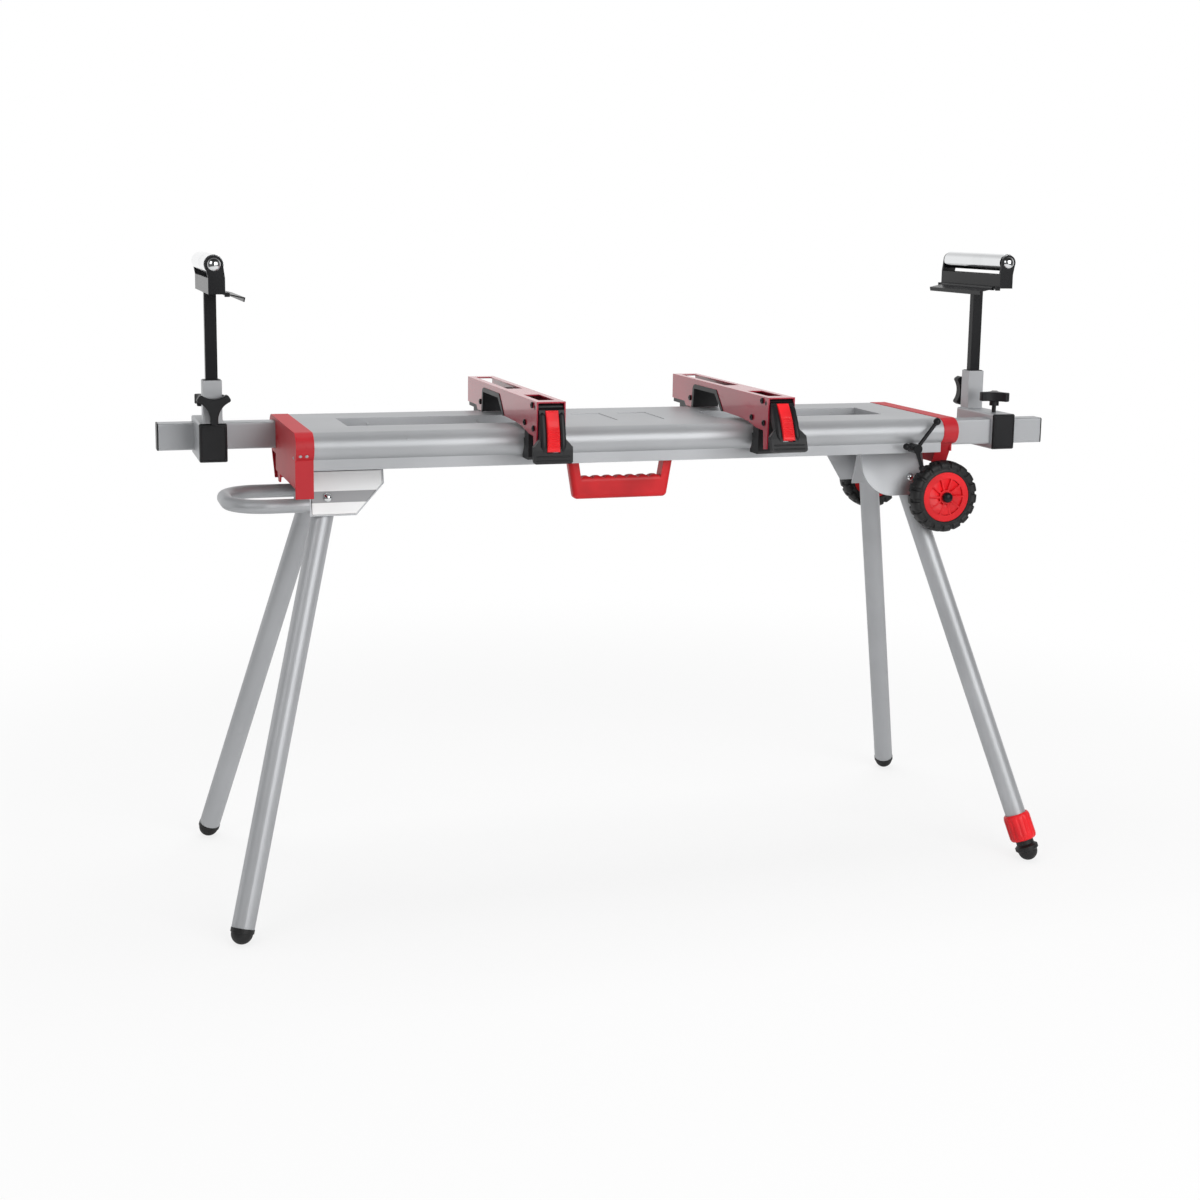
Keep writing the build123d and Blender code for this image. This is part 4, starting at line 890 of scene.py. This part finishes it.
class STAND_OT_saddle_rims(bpy.types.Operator):
    """Add the raised rim round the face of each saddle's end caps"""

    bl_idname = "stand.saddle_rims"
    bl_label = "Saddle cap rims"

    def execute(self, context):
        for name in SIDES:
            low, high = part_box(f"saddle_{name}")
            x = (low[0] / MM + high[0] / MM) / 2
            rims = []
            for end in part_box(f"saddle_plastics_{name}"):
                centre = vec(x, end[1] / MM, SADDLE_RIM_Z)
                rims.append(rim(centre, SADDLE_RIM_HALVES, SADDLE_RIM_SECTION))
            piece = put_mesh(f"saddle_rims_{name}", rims)
            dress(piece, "plastic_black", f"support_{name}")
        return {"FINISHED"}


class STAND_OT_lugged_tyres(bpy.types.Operator):
    """Replace the plain tyres with lugged ones: a closed section about the axle, grooved between lugs"""

    bl_idname = "stand.lugged_tyres"
    bl_label = "Lugged tyres"

    def section(self):
        """Half of a tyre's section from the crown to the bore, as radius and distance from its middle."""
        off = np.linspace(0, CROWN_HALF, WALL_STEPS)[:-1]
        crown = np.stack([WHEEL_RADIUS - CROWN_FALL * off ** 2, off], axis=1)
        arc = np.linspace(0, np.pi / 2, 9)
        rounded = SHOULDER_RADIUS * np.stack([np.cos(arc), np.sin(arc)], axis=1)
        hollow = WALL_HOLLOW * np.sin(np.linspace(0, np.pi, WALL_STEPS))
        wall = np.stack([np.linspace(*WALL_SPAN, WALL_STEPS), TYRE_HALF - hollow], axis=1)
        return np.vstack([crown, rounded + (SHOULDER_CENTRE, CROWN_HALF), wall, BEAD])

    def execute(self, context):
        fittings = context.scene.stand_fittings
        half = self.section()
        loop = np.vstack([half, (half * (1, -1))[:0:-1]])
        normal = outward(loop)
        angle = circle(TYRE_STEPS)[None, :]
        pitch = 2 * np.pi / fittings.tyre_lugs
        offset = angle + np.sign(loop[:, 1:2]) * pitch / 4
        away = np.abs((offset / pitch) % 1 - 0.5) * pitch * WHEEL_RADIUS
        groove = 1 - smooth(away, *GROOVE_HALVES)
        reach = smooth(loop[:, 0:1], *GROOVE_RADII) * smooth(np.abs(loop[:, 1:2]), *GROOVE_MIDDLE)
        depth = fittings.lug_depth / MM * groove * reach
        radius = loop[:, 0:1] - depth * normal[:, 0:1]
        height = loop[:, 1:2] - depth * normal[:, 1:2]
        for row, sy in ROWS.items():
            tyre = about_axle(radius, angle, sy * (WHEEL_OUTER_Y - TYRE_HALF + height))
            piece = put_mesh(f"lugged_tyre_{row}", [(tyre, True, True)])
            dress(piece, "rubber_black", f"wheel_{row}_body", f"wheel_tyre_{row}")
        return {"FINISHED"}


class STAND_OT_hub_faces(bpy.types.Operator):
    """Add the sloping petals in each hub's face and the black cap over each end of the axle"""

    bl_idname = "stand.hub_faces"
    bl_label = "Hub faces"

    def execute(self, context):
        count = context.scene.stand_fittings.hub_petals
        angle = circle(PETAL_STEPS * count)[None, :]
        slope = (angle * count / (2 * np.pi)) % 1
        rings = np.linspace(*PETAL_RADII, PETAL_RINGS)[:, None]
        fade = smooth(rings, *PETAL_FADE_IN) * (1 - PETAL_DROP * smooth(rings, *PETAL_FADE_OUT))
        face = PETAL_LOW + PETAL_RISE * slope * fade
        radius = np.vstack([rings, rings[::-1]])
        depth = np.vstack([face, np.full_like(face, PETAL_BACK)])
        caps = []
        for row, sy in ROWS.items():
            petals = about_axle(radius, angle, sy * (HUB_FACE_Y + depth))
            piece = put_mesh(f"hub_petals_{row}", [(petals, True, True)], PETAL_SHARP)
            dress(piece, "plastic_red", f"wheel_{row}_body")
            seat = vec(AXLE_X, sy * (WHEEL_OUTER_Y + AXLE_CAP_OVER), AXLE_Z)
            caps.append(turned(AXLE_CAP, seat, vec(0, sy, 0), AXLE_CAP_SIDES))
        dress(put_mesh("axle_caps", caps), "steel_black", "frame")
        return {"FINISHED"}


class STAND_OT_stage(bpy.types.Operator):
    """Lay the floor, set the lights and put the camera at the photograph's angle"""

    bl_idname = "stand.stage"
    bl_label = "Stage"

    def lay_floor(self, stage):
        """A pale disc that keeps soft shadows and turns white towards its edge."""
        rings, spokes = FLOOR_GRID
        turn = circle(spokes)[None, :]
        reach = np.linspace(0, FLOOR_RADIUS, rings)[:, None]
        disc = np.stack([reach * np.cos(turn), reach * np.sin(turn), np.zeros(FLOOR_GRID)], axis=-1)
        floor = put_mesh("floor", [(disc, False, True)])
        pale = Finish("pale_floor")
        pale.set(Base_Color=tuple(stage.floor), Roughness=0.9, Specular_IOR_Level=0.1)
        camera, mirrored = pale.rays()
        far = pale.node("ShaderNodeVectorMath", {"operation": "LENGTH"}, {0: pale.place}, "Value")
        white = pale.node("ShaderNodeEmission", None, {"Color": WHITE, "Strength": 1.0})
        share = camera * pale.band(far, 0.9, 2.3, bottom=0.8) + mirrored * 0.2
        surface = pale.node("ShaderNodeMixShader", None, {0: share, 1: pale.shader, 2: white})
        floor.data.materials.append(pale.done(surface))

    def light_room(self, stage):
        """White to the camera, even light for the surfaces, and a pale backdrop behind in reflections."""
        world = bpy.data.worlds.new("studio")
        bpy.context.scene.world = world
        world.use_nodes = True
        room = Nodes(world.node_tree)
        camera, mirrored = room.rays()
        away = room.node("ShaderNodeTexCoord", output="Generated")
        behind = room.band(room.part(away, "Y"), -0.15, 0.35, bottom=0.12, top=stage.backdrop)
        overhead = room.band(room.part(away, "Z"), 0.3, 0.8, bottom=1.0, top=0.3)
        even = (1 - camera - mirrored) * stage.room_light
        sockets = {"Color": WHITE, "Strength": even + camera + mirrored * (behind * overhead)}
        room.finish_with("ShaderNodeOutputWorld", room.node("ShaderNodeBackground", None, sockets))

    def hang_lamp(self, name, watts, place, target, size, mirrored):
        """A rectangular softbox that faces its target."""
        data = bpy.data.lights.new(name, "AREA")
        data.energy = watts
        data.shape = "RECTANGLE"
        data.size, data.size_y = size
        lamp = bpy.data.objects.new(name, data)
        lamp.visible_glossy = mirrored
        away = unit(vec(*place) - vec(*target))
        side = unit(np.cross(vec(0, 0, 1), away))
        turn = np.stack([side, np.cross(away, side), away], axis=1)
        lamp.matrix_world = Matrix.Translation(place) @ Matrix(turn.tolist()).to_4x4()
        bpy.context.scene.collection.objects.link(lamp)

    def set_camera(self, scene):
        """The photograph's camera."""
        yaw, pitch, roll = np.radians(CAMERA_TURN)
        forward = vec(np.sin(yaw) * np.cos(pitch), np.cos(yaw) * np.cos(pitch), -np.sin(pitch))
        level = vec(np.cos(yaw), -np.sin(yaw), 0)
        upright = np.cross(level, forward)
        right = np.cos(roll) * level + np.sin(roll) * upright
        up = np.cos(roll) * upright - np.sin(roll) * level
        data = bpy.data.cameras.new("photo_camera")
        data.sensor_width = SENSOR_MM
        data.sensor_fit = "HORIZONTAL"
        data.lens = SENSOR_MM * FOCAL_PIXELS / PHOTO_PIXELS
        data.shift_x = (PHOTO_PIXELS / 2 - PRINCIPAL_POINT[0]) / PHOTO_PIXELS
        data.shift_y = (PRINCIPAL_POINT[1] - PHOTO_PIXELS / 2) / PHOTO_PIXELS
        data.clip_end = CAMERA_FAR
        camera = bpy.data.objects.new("photo_camera", data)
        turn = Matrix(np.stack([right, up, -forward], axis=1).tolist()).to_4x4()
        camera.matrix_world = Matrix.Translation(CAMERA_PLACE) @ turn
        scene.collection.objects.link(camera)
        scene.camera = camera
        scene.view_settings.view_transform = "Standard"

    def execute(self, context):
        stage = context.scene.stand_stage
        self.lay_floor(stage)
        self.light_room(stage)
        for name, settings in LAMPS.items():
            self.hang_lamp(f"softbox_{name}", getattr(stage, f"{name}_power"), *settings)
        self.set_camera(context.scene)
        return {"FINISHED"}


class STAND_PT_looks(bpy.types.Panel):
    """Lists the stand's finishes and fittings"""

    bl_idname = "STAND_PT_looks"
    bl_label = "Mitre saw stand"
    bl_space_type = "VIEW_3D"
    bl_region_type = "UI"
    bl_category = "Stand"

    def draw(self, context):
        for name, group in GROUPS.items():
            box = self.layout.box()
            for key in group.__annotations__:
                box.prop(getattr(context.scene, name), key)
        for maker in OPERATORS:
            self.layout.operator(maker.bl_idname)


GROUPS = {"stand_colours": StandColours, "stand_fittings": StandFittings, "stand_stage": StandStage}
OPERATORS = (
    STAND_OT_finish_solids,
    STAND_OT_cap_rivets,
    STAND_OT_rail_screws,
    STAND_OT_bracket_bolts,
    STAND_OT_foot_collar,
    STAND_OT_blank_label,
    STAND_OT_trigger_pads,
    STAND_OT_lever_ridges,
    STAND_OT_saddle_rims,
    STAND_OT_lugged_tyres,
    STAND_OT_hub_faces,
    STAND_OT_stage,
)


def register():
    for name, group in GROUPS.items():
        bpy.utils.register_class(group)
        setattr(bpy.types.Scene, name, PointerProperty(type=group))
    for maker in OPERATORS + (STAND_PT_looks,):
        bpy.utils.register_class(maker)


def unregister():
    for maker in reversed(OPERATORS + (STAND_PT_looks,)):
        bpy.utils.unregister_class(maker)
    for name, group in GROUPS.items():
        delattr(bpy.types.Scene, name)
        bpy.utils.unregister_class(group)


def main():
    """Register the add-on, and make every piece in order."""
    register()
    for maker in OPERATORS:
        family, call = maker.bl_idname.split(".")
        getattr(getattr(bpy.ops, family), call)()


if __name__ == "__main__":
    main()
